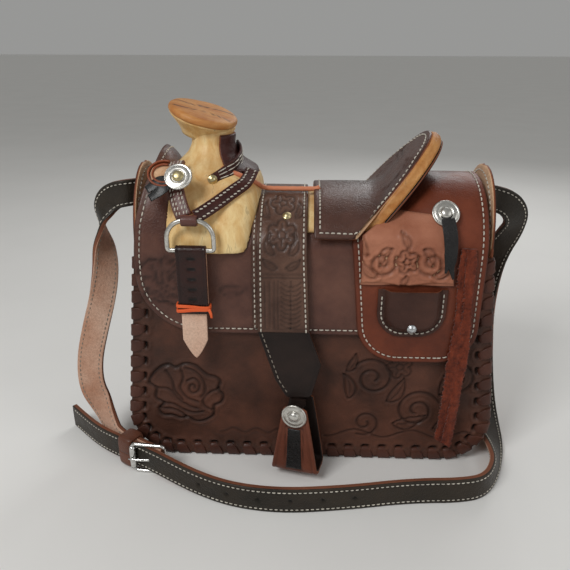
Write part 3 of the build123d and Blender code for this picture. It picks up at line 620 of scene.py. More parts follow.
# ---- the saddle's form --------------------------------------------------------------
@dataclass(frozen=True)
class SaddleForm:
    """The arch that the leather lies over: straight sides, then half an ellipse."""

    half: float = 47.5
    spring: float = 172.0
    stations: tuple[tuple[float, float], ...] = (
        (-128.0, 237.0), (-106.0, 237.0), (-88.0, 201.0), (60.0, 201.0), (84.0, 216.0),
        (123.0, 216.0),
    )

    def crown(self, x: Points) -> Points:
        """Height of the bare arch's crown at x, its corners eased a little.

        Args:
            x: places along the saddle, in mm.

        Returns:
            Heights in mm.
        """
        at, high = zip(*self.stations)
        x = np.asarray(x, float)
        return np.mean([np.interp(x + s, at, high) for s in (-4, -2, 0, 2, 4)], axis=0)

    @property
    def girth(self) -> float:
        """Length of the bare half ellipse at the seat, the measure of the arch's places.

        Returns:
            The length in mm.
        """
        a = self.half
        b = float(self.crown(0.0)) - self.spring
        h = ((a - b) / (a + b)) ** 2
        return math.pi / 2 * (a + b) * (1 + 3 * h / (10 + math.sqrt(4 - 3 * h)))

    def reach(self, x: float, z: float, back: bool = False, out: float = 0.0) -> float:
        """Place on the form of the height z at x.

        Args:
            x: place along the bag.
            z: height of the point.
            back: True for the back of the bag.
            out: distance of the point outward from the bare form.

        Returns:
            Its distance over the form from the front spring line, negative below it.
        """
        place = z - self.spring
        if place > 0:
            share = min(1.0, place / (float(self.crown(x)) + out - self.spring))
            place = math.asin(share) / math.pi * self.girth
        return self.girth - place if back else place

    def point(self, x: Points, s: Points, out: Points) -> tuple[Points, Points]:
        """Point on the form and the direction out of it.

        Args:
            x: place along the bag, in mm.
            s: distance over the form from the front spring line, below it negative.
            out: distance outward from the bare form.

        Returns:
            Points and unit directions, each with a last axis of three.
        """
        x, s, out = np.broadcast_arrays(*(np.asarray(v, float) for v in (x, s, out)))
        turn = np.pi * np.clip(s / self.girth, 0, 1)
        a, b = self.half + out, self.crown(x) + out - self.spring
        below = np.minimum(s, 0) - np.maximum(s - self.girth, 0)
        at = np.stack([x, -a * np.cos(turn), self.spring + b * np.sin(turn) + below], -1)
        return at, unit(np.stack([0 * x, -np.cos(turn) / a, np.sin(turn) / b], -1))

    def lifted(self, points: Points, out: float) -> Points:
        """Points with those under the form's surface raised onto it.

        Args:
            points: points in mm.
            out: distance of the surface outward from the bare form.

        Returns:
            The points, none of them inside the surface.
        """
        x, y, z = np.moveaxis(points, -1, 0)
        share = np.maximum(1 - (y / (self.half + out)) ** 2, 0.0)
        high = (self.crown(x) + out - self.spring) * np.sqrt(share)
        return np.stack([x, y, np.maximum(z, self.spring + high)], -1)


FORM = SaddleForm()


@dataclass
class Sheet:
    """A piece of leather laid on the form between two edges, from a hem to an end.

    rows holds its places over the form, left and right give its edges at a place, inner
    and outer its faces' distances from the form. The tooling is carved in x and place,
    and extra moves the grain side outward.
    """

    rows: Points
    left: Edge
    right: Edge
    inner: float
    outer: float
    step: float = 2.0
    tooling: Tooling | None = None
    groove: float = 0.0
    groove_depth: float = 0.3
    wave: float = 0.25
    extra: Callable[[Points], Points] | None = None

    def grid(self) -> tuple[Points, Points]:
        """Places of the grid's points: x and distance over the form.

        Returns:
            Two grids, rows by columns.
        """
        left, right = (edge(self.rows) if callable(edge) else np.full(len(self.rows), edge)
                       for edge in (self.left, self.right))
        x = spread(left, right, float(np.max(right - left)), self.step)
        return x, np.repeat(self.rows[:, None], x.shape[1], 1)

    def inset(self, side: str, depth: float) -> tuple[Points, Points]:
        """Line inside one edge, on the grain side.

        Args:
            side: "left", "right", "hem" or "end".
            depth: distance in from the edge, in mm.

        Returns:
            Points on the sheet and directions out of it.
        """
        grid = np.stack(self.grid(), -1)
        line, sign = {"left": (grid[:, 0], 1.0), "right": (grid[:, -1], -1.0),
                      "hem": (grid[0], -1.0), "end": (grid[-1], 1.0)}[side]
        line = resample(line, 1.5)
        line = line + tangents(line)[:, ::-1] * (sign * depth, -sign * depth)
        return FORM.point(line[:, 0], line[:, 1], self.outer - self.groove_depth * 0.6)

    def add_to(self, parts: Parts) -> Parts:
        """Adds the sheet's grain side, flesh side and edges to parts, and returns them.

        Args:
            parts: where they go.

        Returns:
            The same parts.
        """
        x, v = self.grid()
        ring = [np.stack([a, b], -1) for a, b in ((x[:, 0], v[:, 0]), (x[-1], v[-1]),
                (x[::-1, -1], v[::-1, -1]), (x[0, ::-1], v[0, ::-1]))]
        away = line_distance(x, v, np.vstack(ring))
        ripple = np.sin(x / 17 + v / 23) * np.sin(v / 13 - x / 31)
        outer = self.outer - rolled(away) + self.wave * ripple * np.clip(away / 8, 0, 1)
        dark = 0.5 * ridge(away, 0, 1.3)
        if self.groove:
            outer -= self.groove_depth * ridge(away, self.groove, 0.8)
            dark = np.maximum(dark, 0.35 * ridge(away, self.groove, 1.0))
        if self.tooling:
            height, cut = self.tooling.at(x, v)
            outer += height
            dark = np.maximum(dark, cut)
        if self.extra:
            outer += self.extra(v)
        inner = self.inner + rolled(away, 0.5)
        return parts.shell(FORM.point(x, v, outer)[0], FORM.point(x, v, inner)[0], dark)

    def sew(self, parts: Parts, sides: Sequence[str], depth: float, slot: int = 3,
            *sizes: float) -> Parts:
        """Adds rows of stitches inside some edges to parts, and returns them.

        Args:
            parts: where they go.
            sides: names of the edges.
            depth: distance in from the edges.
            slot: material number of the thread.
            sizes: the stitches' pitch, length and radius.

        Returns:
            The same parts.
        """
        for side in sides:
            parts.stitches(*self.inset(side, depth), slot, *sizes)
        return parts


# ---- finishes -----------------------------------------------------------------------
Color = tuple[float, float, float]


def linear(color: Color, share: float = 1.0) -> tuple[float, float, float, float]:
    """A share of a colour in 0 to 255 sRGB numbers, as linear light with alpha 1."""
    parts = [part * share / 255 for part in color]
    return (*(c / 12.92 if c <= 0.04045 else ((c + 0.055) / 1.055) ** 2.4 for c in parts), 1.0)


class Nodes:
    """Short calls that build a material's node tree."""

    def __init__(self, name: str) -> None:
        """Starts a material with a Principled shader.

        Args:
            name: the material's name.
        """
        self.material = bpy.data.materials.new(name)
        self.material.use_nodes = True
        self.tree = self.material.node_tree
        self.shader = self.tree.nodes["Principled BSDF"]

    def feed(self, socket: bpy.types.NodeSocket, value: object) -> None:
        """Joins another socket to this one, or sets its own value.

        Args:
            socket: the input.
            value: an output, a number or a colour.
        """
        if isinstance(value, bpy.types.NodeSocket):
            self.tree.links.new(value, socket)
        else:
            socket.default_value = value

    def new(self, kind: str, **values: object) -> bpy.types.Node:
        """Adds a node and sets its inputs or properties by name.

        Args:
            kind: the node's type, without "ShaderNode".
            values: inputs, their names with "_" for a space, or properties.

        Returns:
            The node.
        """
        node = self.tree.nodes.new(f"ShaderNode{kind}")
        for name, value in values.items():
            label = name.replace("_", " ")
            if label in node.inputs:
                self.feed(node.inputs[label], value)
            else:
                setattr(node, name, value)
        return node

    def place(self, scale: Color = (1, 1, 1), turn: Color = (0, 0, 0)) -> bpy.types.NodeSocket:
        """The object's own coordinates in metres, scaled and turned."""
        where = self.new("TexCoord").outputs["Object"]
        return self.new("Mapping", Vector=where, Scale=scale, Rotation=turn).outputs["Vector"]

    def shade(self) -> bpy.types.NodeSocket:
        """How dark the shade attribute makes the colour: carving dye, and painted shade in holes
        and slots.
        """
        return self.new("Attribute", attribute_name="shade").outputs["Fac"]

    def noise(self, place: bpy.types.NodeSocket, scale: float, detail: float = 4.0,
              rough: float = 0.55, twist: float = 0.0) -> bpy.types.NodeSocket:
        """Noise from about 0.3 to 0.7."""
        return self.new("TexNoise", Vector=place, Scale=scale, Detail=detail, Roughness=rough,
                        Distortion=twist).outputs["Fac"]

    def span(self, value: bpy.types.NodeSocket, low: float, high: float, to_low: float = 0.0,
             to_high: float = 1.0) -> bpy.types.NodeSocket:
        """Maps a value from one range to another, clamped."""
        return self.new("MapRange", Value=value, From_Min=low, From_Max=high, To_Min=to_low,
                        To_Max=to_high).outputs["Result"]

    def mix(self, share: object, first: object, second: object) -> bpy.types.NodeSocket:
        """Mixes two colours by a share.

        Args:
            share: share of the second.
            first: the first colour.
            second: the second colour.

        Returns:
            The mixed colour.
        """
        node = self.new("Mix", data_type="RGBA", blend_type="MIX")
        for index, value in ((0, share), (6, first), (7, second)):
            self.feed(node.inputs[index], value)
        return node.outputs[2]

    def math(self, how: str, first: object, second: object) -> bpy.types.NodeSocket:
        """One arithmetic step.

        Args:
            how: name of the step.
            first: its first value.
            second: its second value.

        Returns:
            The result.
        """
        node = self.new("Math", operation=how)
        for socket, value in zip(node.inputs, (first, second)):
            self.feed(socket, value)
        return node.outputs[0]

    def bump(self, height: bpy.types.NodeSocket, distance: float,
             under: bpy.types.NodeSocket | None = None) -> bpy.types.NodeSocket:
        """A bump, in metres of height, over an earlier one.

        Args:
            height: height from 0 to 1.
            distance: metres that a height of 1 stands for.
            under: normal of the earlier bump.

        Returns:
            The normal.
        """
        node = self.new("Bump", Height=height, Distance=distance, Strength=1.0)
        if under is not None:
            self.feed(node.inputs["Normal"], under)
        return node.outputs["Normal"]

    def finish(self, **values: object) -> bpy.types.Material:
        """Joins or sets the shader's sockets.

        Args:
            values: a value for each socket, whose name has "_" for a space.

        Returns:
            The material.
        """
        for name, value in values.items():
            self.feed(self.shader.inputs[name.replace("_", " ")], value)
        return self.material


@dataclass(frozen=True)
class Finish:
    """What a surface is finished with; the same finish gives the same material."""

    name: str
    slot: str
    color: Color

    def material(self) -> bpy.types.Material:
        """The finish's material, made once.

        Returns:
            The material.
        """
        title = f"{self.name}_finish"
        made = bpy.data.materials.get(title)
        return made if made is not None else self.make(Nodes(title))

    def make(self, n: Nodes) -> bpy.types.Material:
        """Builds the material in a new node tree."""
        raise NotImplementedError


@dataclass(frozen=True)
class Leather(Finish):
    """Dyed, waxed leather: blotchy dye, fine grain, creases and darker carving."""

    light: Color
    rough: float = 0.42
    grain: float = 0.5
    blotch: float = 0.5
    coat: float = 0.25

    def make(self, n: Nodes) -> bpy.types.Material:
        """Builds the material in a new node tree.

        Args:
            n: the tree's builder.

        Returns:
            The material.
        """
        where = n.place()
        broad = n.span(n.noise(where, 22.0, 3.0), 0.35, 0.68)
        fine = n.span(n.noise(where, 140.0, 5.0, 0.65), 0.3, 0.7)
        both = n.math("MULTIPLY", broad, self.blotch)
        both = n.math("ADD", both, n.math("MULTIPLY", fine, 0.22))
        color = n.mix(both, linear(self.color), linear(self.light))
        shade = n.shade()
        # The shade attribute darkens the colour: dye in carving and on edges, and painted shade in
        # holes and slots.
        color = n.mix(n.math("MULTIPLY", shade, 0.9), color, linear(self.color, 0.28))
        cells = n.new("TexVoronoi", Vector=where, Scale=900.0, feature="F1")
        pits = n.span(cells.outputs["Distance"], 0.0, 0.75)
        creases = n.noise(n.place((1.0, 1.0, 1.6)), 210.0, 6.0, 0.7)
        normal = n.bump(pits, 0.00022 * self.grain, n.bump(creases, 0.0009 * self.grain))
        rough = n.span(n.math("ADD", broad, fine), 0.3, 1.7, self.rough - 0.09,
                       self.rough + 0.13)
        rough = n.math("ADD", rough, n.math("MULTIPLY", shade, 0.15))
        return n.finish(Base_Color=color, Roughness=rough, Normal=normal,
                        Coat_Weight=self.coat * 0.5, Coat_Roughness=0.22,
                        Specular_IOR_Level=0.2)


@dataclass(frozen=True)
class Flesh(Finish):
    """The undyed back of leather: short fibres, soft and matte."""

    light: Color

    def make(self, n: Nodes) -> bpy.types.Material:
        """Builds the material in a new node tree.

        Args:
            n: the tree's builder.

        Returns:
            The material.
        """
        where = n.place()
        broad = n.span(n.noise(where, 30.0), 0.32, 0.7)
        fibres = n.noise(where, 650.0, 5.0, 0.75)
        color = n.mix(broad, linear(self.color), linear(self.light))
        color = n.mix(n.span(fibres, 0.35, 0.62, 0.35, 0.0), color, linear(self.color, 0.6))
        return n.finish(Base_Color=color, Normal=n.bump(fibres, 0.0006), Roughness=0.86,
                        Sheen_Weight=0.1, Sheen_Roughness=0.5, Specular_IOR_Level=0.2)


@dataclass(frozen=True)
class Suede(Finish):
    """Rough suede with a torn nap."""

    light: Color

    def make(self, n: Nodes) -> bpy.types.Material:
        """Builds the material in a new node tree.

        Args:
            n: the tree's builder.

        Returns:
            The material.
        """
        nap = n.noise(n.place(), 420.0, 6.0, 0.8)
        tufts = n.noise(n.place((1, 1, 0.45)), 170.0, 4.0, 0.7)
        both = n.math("ADD", n.math("MULTIPLY", nap, 0.6), n.math("MULTIPLY", tufts, 0.7))
        color = n.mix(n.span(both, 0.5, 0.82), linear(self.color), linear(self.light))
        color = n.mix(n.shade(), color, linear(self.color, 0.35))
        return n.finish(Base_Color=color, Normal=n.bump(both, 0.0016), Roughness=0.95,
                        Sheen_Weight=0.15, Sheen_Roughness=0.5, Specular_IOR_Level=0.15)


@dataclass(frozen=True)
class Wood(Finish):
    """Oiled pale wood with long grain, fine pores and a few dark lines."""

    light: Color
    dark: Color
    along: Color
    rough: float = 0.5

    def make(self, n: Nodes) -> bpy.types.Material:
        """Builds the material in a new node tree.

        Args:
            n: the tree's builder.

        Returns:
            The material.
        """
        where = n.place(self.along)
        drift = n.noise(n.place(), 26.0, 3.0)
        bands = n.noise(where, 150.0, 5.0, 0.6, 0.4)
        pores = n.noise(n.place(self.along), 900.0, 3.0, 0.7)
        color = n.mix(n.span(bands, 0.34, 0.66), linear(self.color), linear(self.light))
        color = n.mix(n.span(drift, 0.42, 0.75, 0.0, 0.55), color, linear(self.dark))
        lines = n.span(bands, 0.63, 0.67, 0.0, 0.35)
        color = n.mix(lines, color, linear(self.dark, 0.55))
        color = n.mix(n.shade(), color, linear(self.dark, 0.5))
        color = n.mix(n.span(pores, 0.55, 0.75, 0.0, 0.25), color, linear(self.dark))
        rough = n.span(drift, 0.3, 0.7, self.rough - 0.06, self.rough + 0.12)
        return n.finish(Base_Color=color, Roughness=rough,
                        Normal=n.bump(pores, 0.00025, n.bump(bands, 0.0007)),
                        Coat_Weight=0.1, Coat_Roughness=0.3, Specular_IOR_Level=0.3)


@dataclass(frozen=True)
class Metal(Finish):
    """Plated metal with faint scratches and handling marks."""

    rough: float = 0.22
    tarnish: Color = (120, 112, 100)

    def make(self, n: Nodes) -> bpy.types.Material:
        """Builds the material in a new node tree.

        Args:
            n: the tree's builder.

        Returns:
            The material.
        """
        marks = n.span(n.noise(n.place(), 260.0, 5.0, 0.7), 0.42, 0.75)
        scratch = n.noise(n.place((1, 6, 1), (0.4, 0.2, 0.9)), 900.0, 2.0)
        color = n.mix(n.math("MULTIPLY", marks, 0.5), linear(self.color), linear(self.tarnish))
        rough = n.math("ADD", n.math("MULTIPLY", marks, 0.22), self.rough)
        return n.finish(Base_Color=color, Roughness=rough, Normal=n.bump(scratch, 0.00006),
                        Metallic=1.0)


@dataclass(frozen=True)
class Thread(Finish):
    """Twisted waxed thread, a little soiled."""

    def make(self, n: Nodes) -> bpy.types.Material:
        """Builds the material in a new node tree.

        Args:
            n: the tree's builder.

        Returns:
            The material.
        """
        soil = n.span(n.noise(n.place(), 90.0), 0.4, 0.72)
        color = n.mix(n.math("MULTIPLY", soil, 0.65), linear(self.color),
                      linear(self.color, 0.55))
        twist = n.new("TexWave", Vector=n.place((1, 1, 1), (0.6, 0.7, 0.5)), Scale=900.0,
                      Distortion=1.0)
        return n.finish(Base_Color=color, Normal=n.bump(twist.outputs["Fac"], 0.0002),
                        Roughness=0.62, Sheen_Weight=0.2)


BAG = Leather("bag_leather", "bag_leather", (54, 35, 28), (104, 65, 50), 0.5, 0.45, 0.62, 0.12)
GUSSET = Leather("gusset_leather", "bag_leather", (52, 27, 19), (98, 52, 34), 0.52, 0.6, 0.6, 0.1)
SKIRT = Leather("skirt_leather", "skirt_leather", (70, 43, 37), (120, 82, 68), 0.36, 0.6, 0.5,
                0.35)
REAR = Leather("rear_leather", "rear_leather", (84, 38, 23), (132, 66, 42), 0.42, 0.45, 0.5, 0.25)
POCKET = Leather("pocket_leather", "rear_leather", (52, 30, 24), (84, 54, 44), 0.45, 0.7, 0.5, 0.2)
CARVED = Leather("carved_leather", "rear_leather", (144, 88, 66), (188, 128, 100), 0.46, 0.5, 0.5,
                 0.15)
SEAT = Leather("seat_leather", "rear_leather", (60, 37, 30), (104, 69, 57), 0.34, 0.75, 0.45, 0.4)
FENDER = Leather("fender_leather", "rear_leather", (68, 45, 36), (122, 90, 74), 0.36, 0.7, 0.55,
                 0.35)
STIRRUP = Leather("stirrup_leather", "rear_leather", (96, 52, 38), (136, 80, 60), 0.45, 0.55, 0.5,
                  0.2)
# Near-black leather for small dark parts; on the fender's under panel it is the fender leather
# darkened as painted shade.
DARK_AND_SHADE = Leather("dark_leather_and_shade", "rear_leather", (22, 15, 13), (46, 33, 28), 0.45, 0.5, 0.5, 0.2)
BLACK = Leather("black_leather", "black_leather", (16, 15, 15), (52, 50, 50), 0.3, 1.1, 0.4, 0.5)
EDGE = Leather("cut_edge", "rear_leather", (110, 58, 36), (160, 96, 62), 0.6, 0.5, 0.5, 0.05)
LACE = Leather("lace", "lace", (60, 34, 27), (102, 61, 47), 0.42, 0.5, 0.5, 0.25)
PIPING = Leather("piping_leather", "lace", (190, 112, 80), (222, 150, 112), 0.5, 0.4, 0.4, 0.15)
ORANGE = Leather("orange_lace", "orange_lace", (214, 84, 40), (238, 122, 70), 0.5, 0.3, 0.4, 0.1)
STRAP = Leather("strap_leather", "strap_leather", (34, 30, 24), (64, 54, 44), 0.42, 0.7, 0.5, 0.2)
STRAP_EDGE = Leather("strap_edge", "strap_leather", (104, 62, 45), (142, 90, 66), 0.62, 0.5, 0.5,
                     0.0)
KEEPER = Leather("keeper_leather", "strap_leather", (84, 50, 37), (134, 84, 64), 0.4, 0.6, 0.5,
                 0.3)
LATIGO = Leather("latigo_leather", "strap_leather", (20, 10, 9), (62, 29, 22), 0.28, 0.5, 0.5, 0.5)
RIGGING = Leather("rigging_leather", "rigging_leather", (84, 52, 46), (128, 92, 84), 0.4, 0.5,
                  0.5, 0.3)
WRAP = Leather("wrap_leather", "rigging_leather", (50, 22, 19), (84, 42, 34), 0.45, 0.6, 0.5, 0.2)
FLESH = Flesh("flesh_side", "bag_leather", (196, 152, 118), (226, 190, 152))
STRAP_FLESH = Flesh("strap_flesh", "strap_leather", (176, 128, 102), (212, 178, 156))
BILLET = Flesh("billet_flesh", "strap_leather", (208, 164, 138), (232, 200, 178))
SUEDE = Suede("rust_suede", "suede", (66, 24, 13), (134, 60, 36))
ROSETTE = Leather("rosette_leather", "lace", (112, 54, 30), (160, 84, 50), 0.4, 0.8, 0.6, 0.3)
PATCH = Suede("rosette_patch", "lace", (196, 150, 112), (222, 184, 148))
FORK_WOOD = Wood("fork_wood", "wood", (214, 172, 108), (240, 214, 158), (190, 134, 74),
                 (1.0, 1.0, 0.22))
HORN_WOOD = Wood("horn_wood", "wood", (186, 120, 60), (212, 156, 92), (128, 72, 32),
                 (0.2, 1.0, 1.0))
CANTLE_WOOD = Wood("cantle_wood", "wood", (190, 126, 62), (216, 160, 96), (136, 70, 30),
                   (1.0, 0.3, 1.0))
NICKEL = Metal("nickel", "nickel", (212, 210, 204), 0.24)
CHROME = Metal("chrome", "nickel", (222, 222, 220), 0.12)
BRASS = Metal("brass", "brass", (204, 190, 146), 0.28, (132, 108, 68))
CAP = Metal("plated_cap", "brass", (196, 200, 202), 0.25, (120, 124, 124))
STEEL = Metal("steel", "steel", (150, 146, 140), 0.38)
THREAD = Thread("thread", "lace", (232, 224, 208))
DARK_THREAD = Thread("soiled_thread", "lace", (150, 138, 122))


def dress(finish: Finish, *nodes: str) -> None:
    """Gives CAD nodes a finish in place of their plain colour.

    Args:
        finish: their new finish.
        nodes: the nodes' names.
    """
    for node in nodes:
        materials = frame["nodes"][node].data.materials
        materials.clear()
        materials.append(finish.material())
        LOG.info("%s keeps its shape, in %s", node, finish.name)


# ---- studio -------------------------------------------------------------------------
@dataclass
class Studio:
    """Pale floor, soft lights and the camera."""

    eye: tuple[float, float, float] = (-0.005, -0.4485, 0.310)
    pitch: float = 21.8
    yaw: float = 2.0
    roll: float = 0.2
    lens: float = 37.9
    half_floor: float = 20.0
    floor_color: Color = (232, 231, 228)
    world_color: Color = (228, 228, 226)
    world_strength: float = 0.4

    def build(self) -> None:
        """Makes the camera, the floor, the lights and the world."""
        self.add_camera()
        self.add_floor()
        self.add_light("key", (-0.55, -0.75, 0.95), (0.0, 0.0, 0.12), 0.4, 7.6)
        self.add_light("fill", (0.9, -0.55, 0.55), (0.0, 0.0, 0.12), 0.7, 1.9)
        self.add_light("rim", (0.35, 0.85, 0.8), (0.0, 0.0, 0.15), 0.6, 3.2)
        world = bpy.data.worlds.new("world")
        bpy.context.scene.world = world
        world.use_nodes = True
        back = world.node_tree.nodes["Background"]
        back.inputs["Color"].default_value = linear(self.world_color)
        back.inputs["Strength"].default_value = self.world_strength
        bpy.context.scene.view_settings.view_transform = "Standard"

    def add_camera(self) -> None:
        """Makes the camera."""
        camera = bpy.data.cameras.new("camera")
        camera.lens, camera.sensor_width, camera.clip_start = self.lens, 36.0, 0.01
        place = Matrix.Translation(self.eye)
        for degrees, axis in ((self.yaw, "Z"), (90 - self.pitch, "X"), (self.roll, "Z")):
            place = place @ Matrix.Rotation(math.radians(degrees), 4, axis)
        eye = put("camera", camera)
        eye.matrix_world = place
        bpy.context.scene.camera = eye

    def add_floor(self) -> None:
        """Makes the plain floor."""
        h = self.half_floor
        mesh = bpy.data.meshes.new("floor")
        mesh.from_pydata([(-h, -h, 0), (h, -h, 0), (h, h, 0), (-h, h, 0)], [], [(0, 1, 2, 3)])
        n = Nodes("floor")
        grain = n.span(n.noise(n.place(), 6.0, 3.0), 0.3, 0.7)
        color = n.mix(grain, linear(self.floor_color), linear(self.floor_color, 0.985))
        mesh.materials.append(n.finish(Base_Color=color, Roughness=0.75))
        put("floor", mesh)

    def add_light(self, name: str, spot: Sequence[float], aim: Sequence[float], size: float,
                  power: float) -> None:
        """Makes one soft lamp.

        Args:
            name: the lamp's name.
            spot: where it is, in metres.
            aim: the point that it faces.
            size: width of its square panel.
            power: watts.
        """
        lamp = bpy.data.lights.new(name, "AREA")
        lamp.energy, lamp.size = power, size
        turn = (Vector(aim) - Vector(spot)).to_track_quat("-Z", "Y").to_matrix().to_4x4()
        put(name, lamp).matrix_world = Matrix.Translation(spot) @ turn


# ---- turned metal -------------------------------------------------------------------
CONCHO = (
    (0.90, -0.3), (0.985, 0.0), (1.0, 0.45), (0.985, 0.9), (0.95, 1.15), (0.90, 1.2),
    (0.86, 0.95), (0.835, 0.9), (0.80, 1.1), (0.70, 1.25), (0.60, 1.35), (0.53, 1.35),
    (0.50, 1.1), (0.47, 0.9), (0.44, 0.9), (0.42, 1.2), (0.41, 1.9), (0.37, 2.5), (0.30, 3.0),
    (0.20, 3.35), (0.10, 3.5), (0.01, 3.52),
)
CONCHO_HUB = 15
CONCHO_RADIUS = 9.5
RIVET = ((0.8, -0.8), (1.0, -0.2), (1.02, 0.35), (0.93, 0.75), (0.85, 0.8), (0.72, 1.35),
         (0.5, 1.85), (0.25, 2.15))


def rivet_profile(radius: float) -> list[tuple[float, float]]:
    """Profile of a domed rivet head with a small rolled rim."""
    return [*((radius * share, height) for share, height in RIVET), (0.05, 2.25)]


def concho_profile(lift: float) -> list[tuple[float, float]]:
    """Profile of a concho: rolled rim, flat ring, groove, raised ring and a domed hub."""
    return [(CONCHO_RADIUS * share, lift + height) for share, height in CONCHO]


# ---- shoulder straps ----------------------------------------------------------------
Row = tuple[tuple[float, float, float], tuple[float, float, float]]


@dataclass
class StrapPath:
    """Points of a strap's own line, with the directions of its width and its grain."""

    points: Points
    widths: Points
    normals: Points

    def line(self, side: Points | float, out: float) -> Points:
        """Line beside the strap's own, side across its width and out over its grain."""
        return self.points + self.widths * side + self.normals * out


@dataclass
class ShoulderStraps:
    """Two straps that a roller buckle joins, and the rivets that hold them."""

    width: float = 20.0
    thick: float = 4.2
    seam_in: float = 2.6
    hole_start: float = 150.0
    hole_pitch: float = 23.0
    hole_count: int = 6
    buckle_at: tuple[float, float, float] = (-123.0, -72.31, 13.7)
    strap_way: tuple[float, float, float] = (-20.0, 11.8, 0.0)
    heel: tuple[float, float] = (-11.5, -5.8)
    bar: tuple[float, float] = (11.5, 4.9)
    rail_z: float = 11.9
    wire: float = 1.6
    bend: float = 3.2
    prong_angle: float = 33.4
    prong_length: float = 28.3
    keeper_at: tuple[float, float] = (21.0, -2.6)
    keeper_half: tuple[float, float] = (5.6, 10.4)
    keeper_wall: float = 2.2
    long_route: tuple[Row, ...] = (
        ((0.1292, -0.0160, 0.2020), (0, 0, 1)), ((0.1292, 0.0010, 0.2020), (0, 0, 1)),
        ((0.1380, 0.0140, 0.2010), (0, 0, 1)), ((0.1525, 0.0120, 0.1970), (0.2, 0, 1)),
        ((0.1620, 0.0170, 0.1850), (0.7, 0, 0.7)), ((0.1610, 0.0260, 0.1700), (1, -0.1, 0.2)),
        ((0.1560, 0.0340, 0.1530), (0.95, -0.3, -0.1)),
        ((0.1535, 0.0400, 0.1310), (0.85, -0.5, 0)), ((0.1530, 0.0430, 0.1060), (0.8, -0.6, 0)),
        ((0.1540, 0.0440, 0.0810), (0.8, -0.6, 0)), ((0.1560, 0.0420, 0.0560), (0.9, -0.4, 0)),
        ((0.1575, 0.0350, 0.0320), (1, -0.1, 0)), ((0.1575, 0.0190, 0.0120), (1, 0, 0)),
        ((0.1555, -0.0040, 0.0050), (1, 0, -0.15)),
        ((0.1520, -0.0260, 0.0075), (0.88, 0, -0.45)),
        ((0.1480, -0.0480, 0.0102), (0.6, 0, -0.8)), ((0.1425, -0.0700, 0.0105), (0.2, 0, -1)),
        ((0.1290, -0.0900, 0.0101), (0, 0, -1)), ((0.1080, -0.0950, 0.0101), (0, 0, -1)),
        ((0.0860, -0.0960, 0.0101), (0, 0, -1)), ((0.0620, -0.0990, 0.0101), (0, 0, -1)),
        ((0.0380, -0.1037, 0.0101), (0, 0, -1)), ((0.0120, -0.1075, 0.0101), (0, 0, -1)),
        ((-0.0130, -0.1100, 0.0101), (0, 0, -1)), ((-0.0360, -0.1090, 0.0101), (0, 0, -1)),
        ((-0.0580, -0.1045, 0.0101), (0, 0, -1)), ((-0.0790, -0.0960, 0.0106), (0, 0, -1)),
        ((-0.0980, -0.0865, 0.0122), (0, 0, -1)), ((-0.1120, -0.0788, 0.0137), (0, 0, -1)),
        ((-0.1320, -0.0670, 0.0137), (0, 0, -1)), ((-0.1510, -0.0561, 0.0134), (0, 0, -1)),
        ((-0.1680, -0.0444, 0.0120), (0, 0, -1)), ((-0.1850, -0.0285, 0.0106), (0, 0, -1)),
        ((-0.2020, -0.0115, 0.0101), (0, 0, -1)),
    )
    short_route: tuple[Row, ...] = (
        ((-0.1292, 0.0150, 0.2060), (0, 0, 1)), ((-0.1292, -0.0020, 0.2065), (0, 0, 1)),
        ((-0.1385, -0.0130, 0.2075), (0, 0, 1)), ((-0.1515, -0.0090, 0.2040), (-0.2, 0, 1)),
        ((-0.1605, -0.0070, 0.1930), (-0.5, 0.5, 0.7)),
        ((-0.1620, -0.0080, 0.1780), (-0.2, 0.95, 0.1)),
        ((-0.1610, -0.0100, 0.1630), (0.5, 0.85, 0)), ((-0.1605, -0.0130, 0.1470), (0.8, 0.6, 0)),
        ((-0.1635, -0.0185, 0.1250), (0.95, 0.3, 0)), ((-0.1700, -0.0250, 0.1010), (1, 0.1, 0)),
        ((-0.1755, -0.0305, 0.0770), (1, 0, 0)), ((-0.1750, -0.0355, 0.0560), (0.9, 0.1, 0.4)),
        ((-0.1690, -0.0356, 0.0400), (0.35, 0, 0.95)), ((-0.1610, -0.0414, 0.0250), (0.1, 0, 1)),
        ((-0.1525, -0.0490, 0.0142), (0, 0, 1)), ((-0.1294, -0.0627, 0.0137), (0, 0, 1)),
        ((-0.1113, -0.0733, 0.0137), (0, 0, 1)),
    )

    def build(self) -> None:
        """Makes the straps, their stitches, the buckle, the keeper and the rivets."""
        long_strap, long_path, long_seams = self.strap("long", self.long_route, 1.0)
        short_strap, short_path, short_seams = self.strap("short", self.short_route, -1.0)
        fittings = [self.buckle(), self.prong(), self.keeper()]
        self.rivets()

    def spline(self, name: str, route: Sequence[Row]) -> Points:
        """Reads the smooth spline that a route controls.

        Args:
            name: name of the scratch curve.
            route: control points in metres with their width directions.

        Returns:
            The spline's own points from start to end, in mm.
        """
        curve = bpy.data.curves.new(name, "CURVE")
        curve.dimensions = "3D"
        line = curve.splines.new("NURBS")
        line.points.add(len(route) - 1)
        for point, (place, _) in zip(line.points, route):
            point.co = (*place, 1.0)
        line.order_u = 3
        line.use_endpoint_u = True
        line.resolution_u = 12
        holder = put(name, curve)
        mesh = bpy.data.meshes.new_from_object(holder)
        points = np.array([v.co[:] for v in mesh.vertices]) / MM
        bpy.data.objects.remove(holder)
        bpy.data.meshes.remove(mesh)
        bpy.data.curves.remove(curve)
        return points

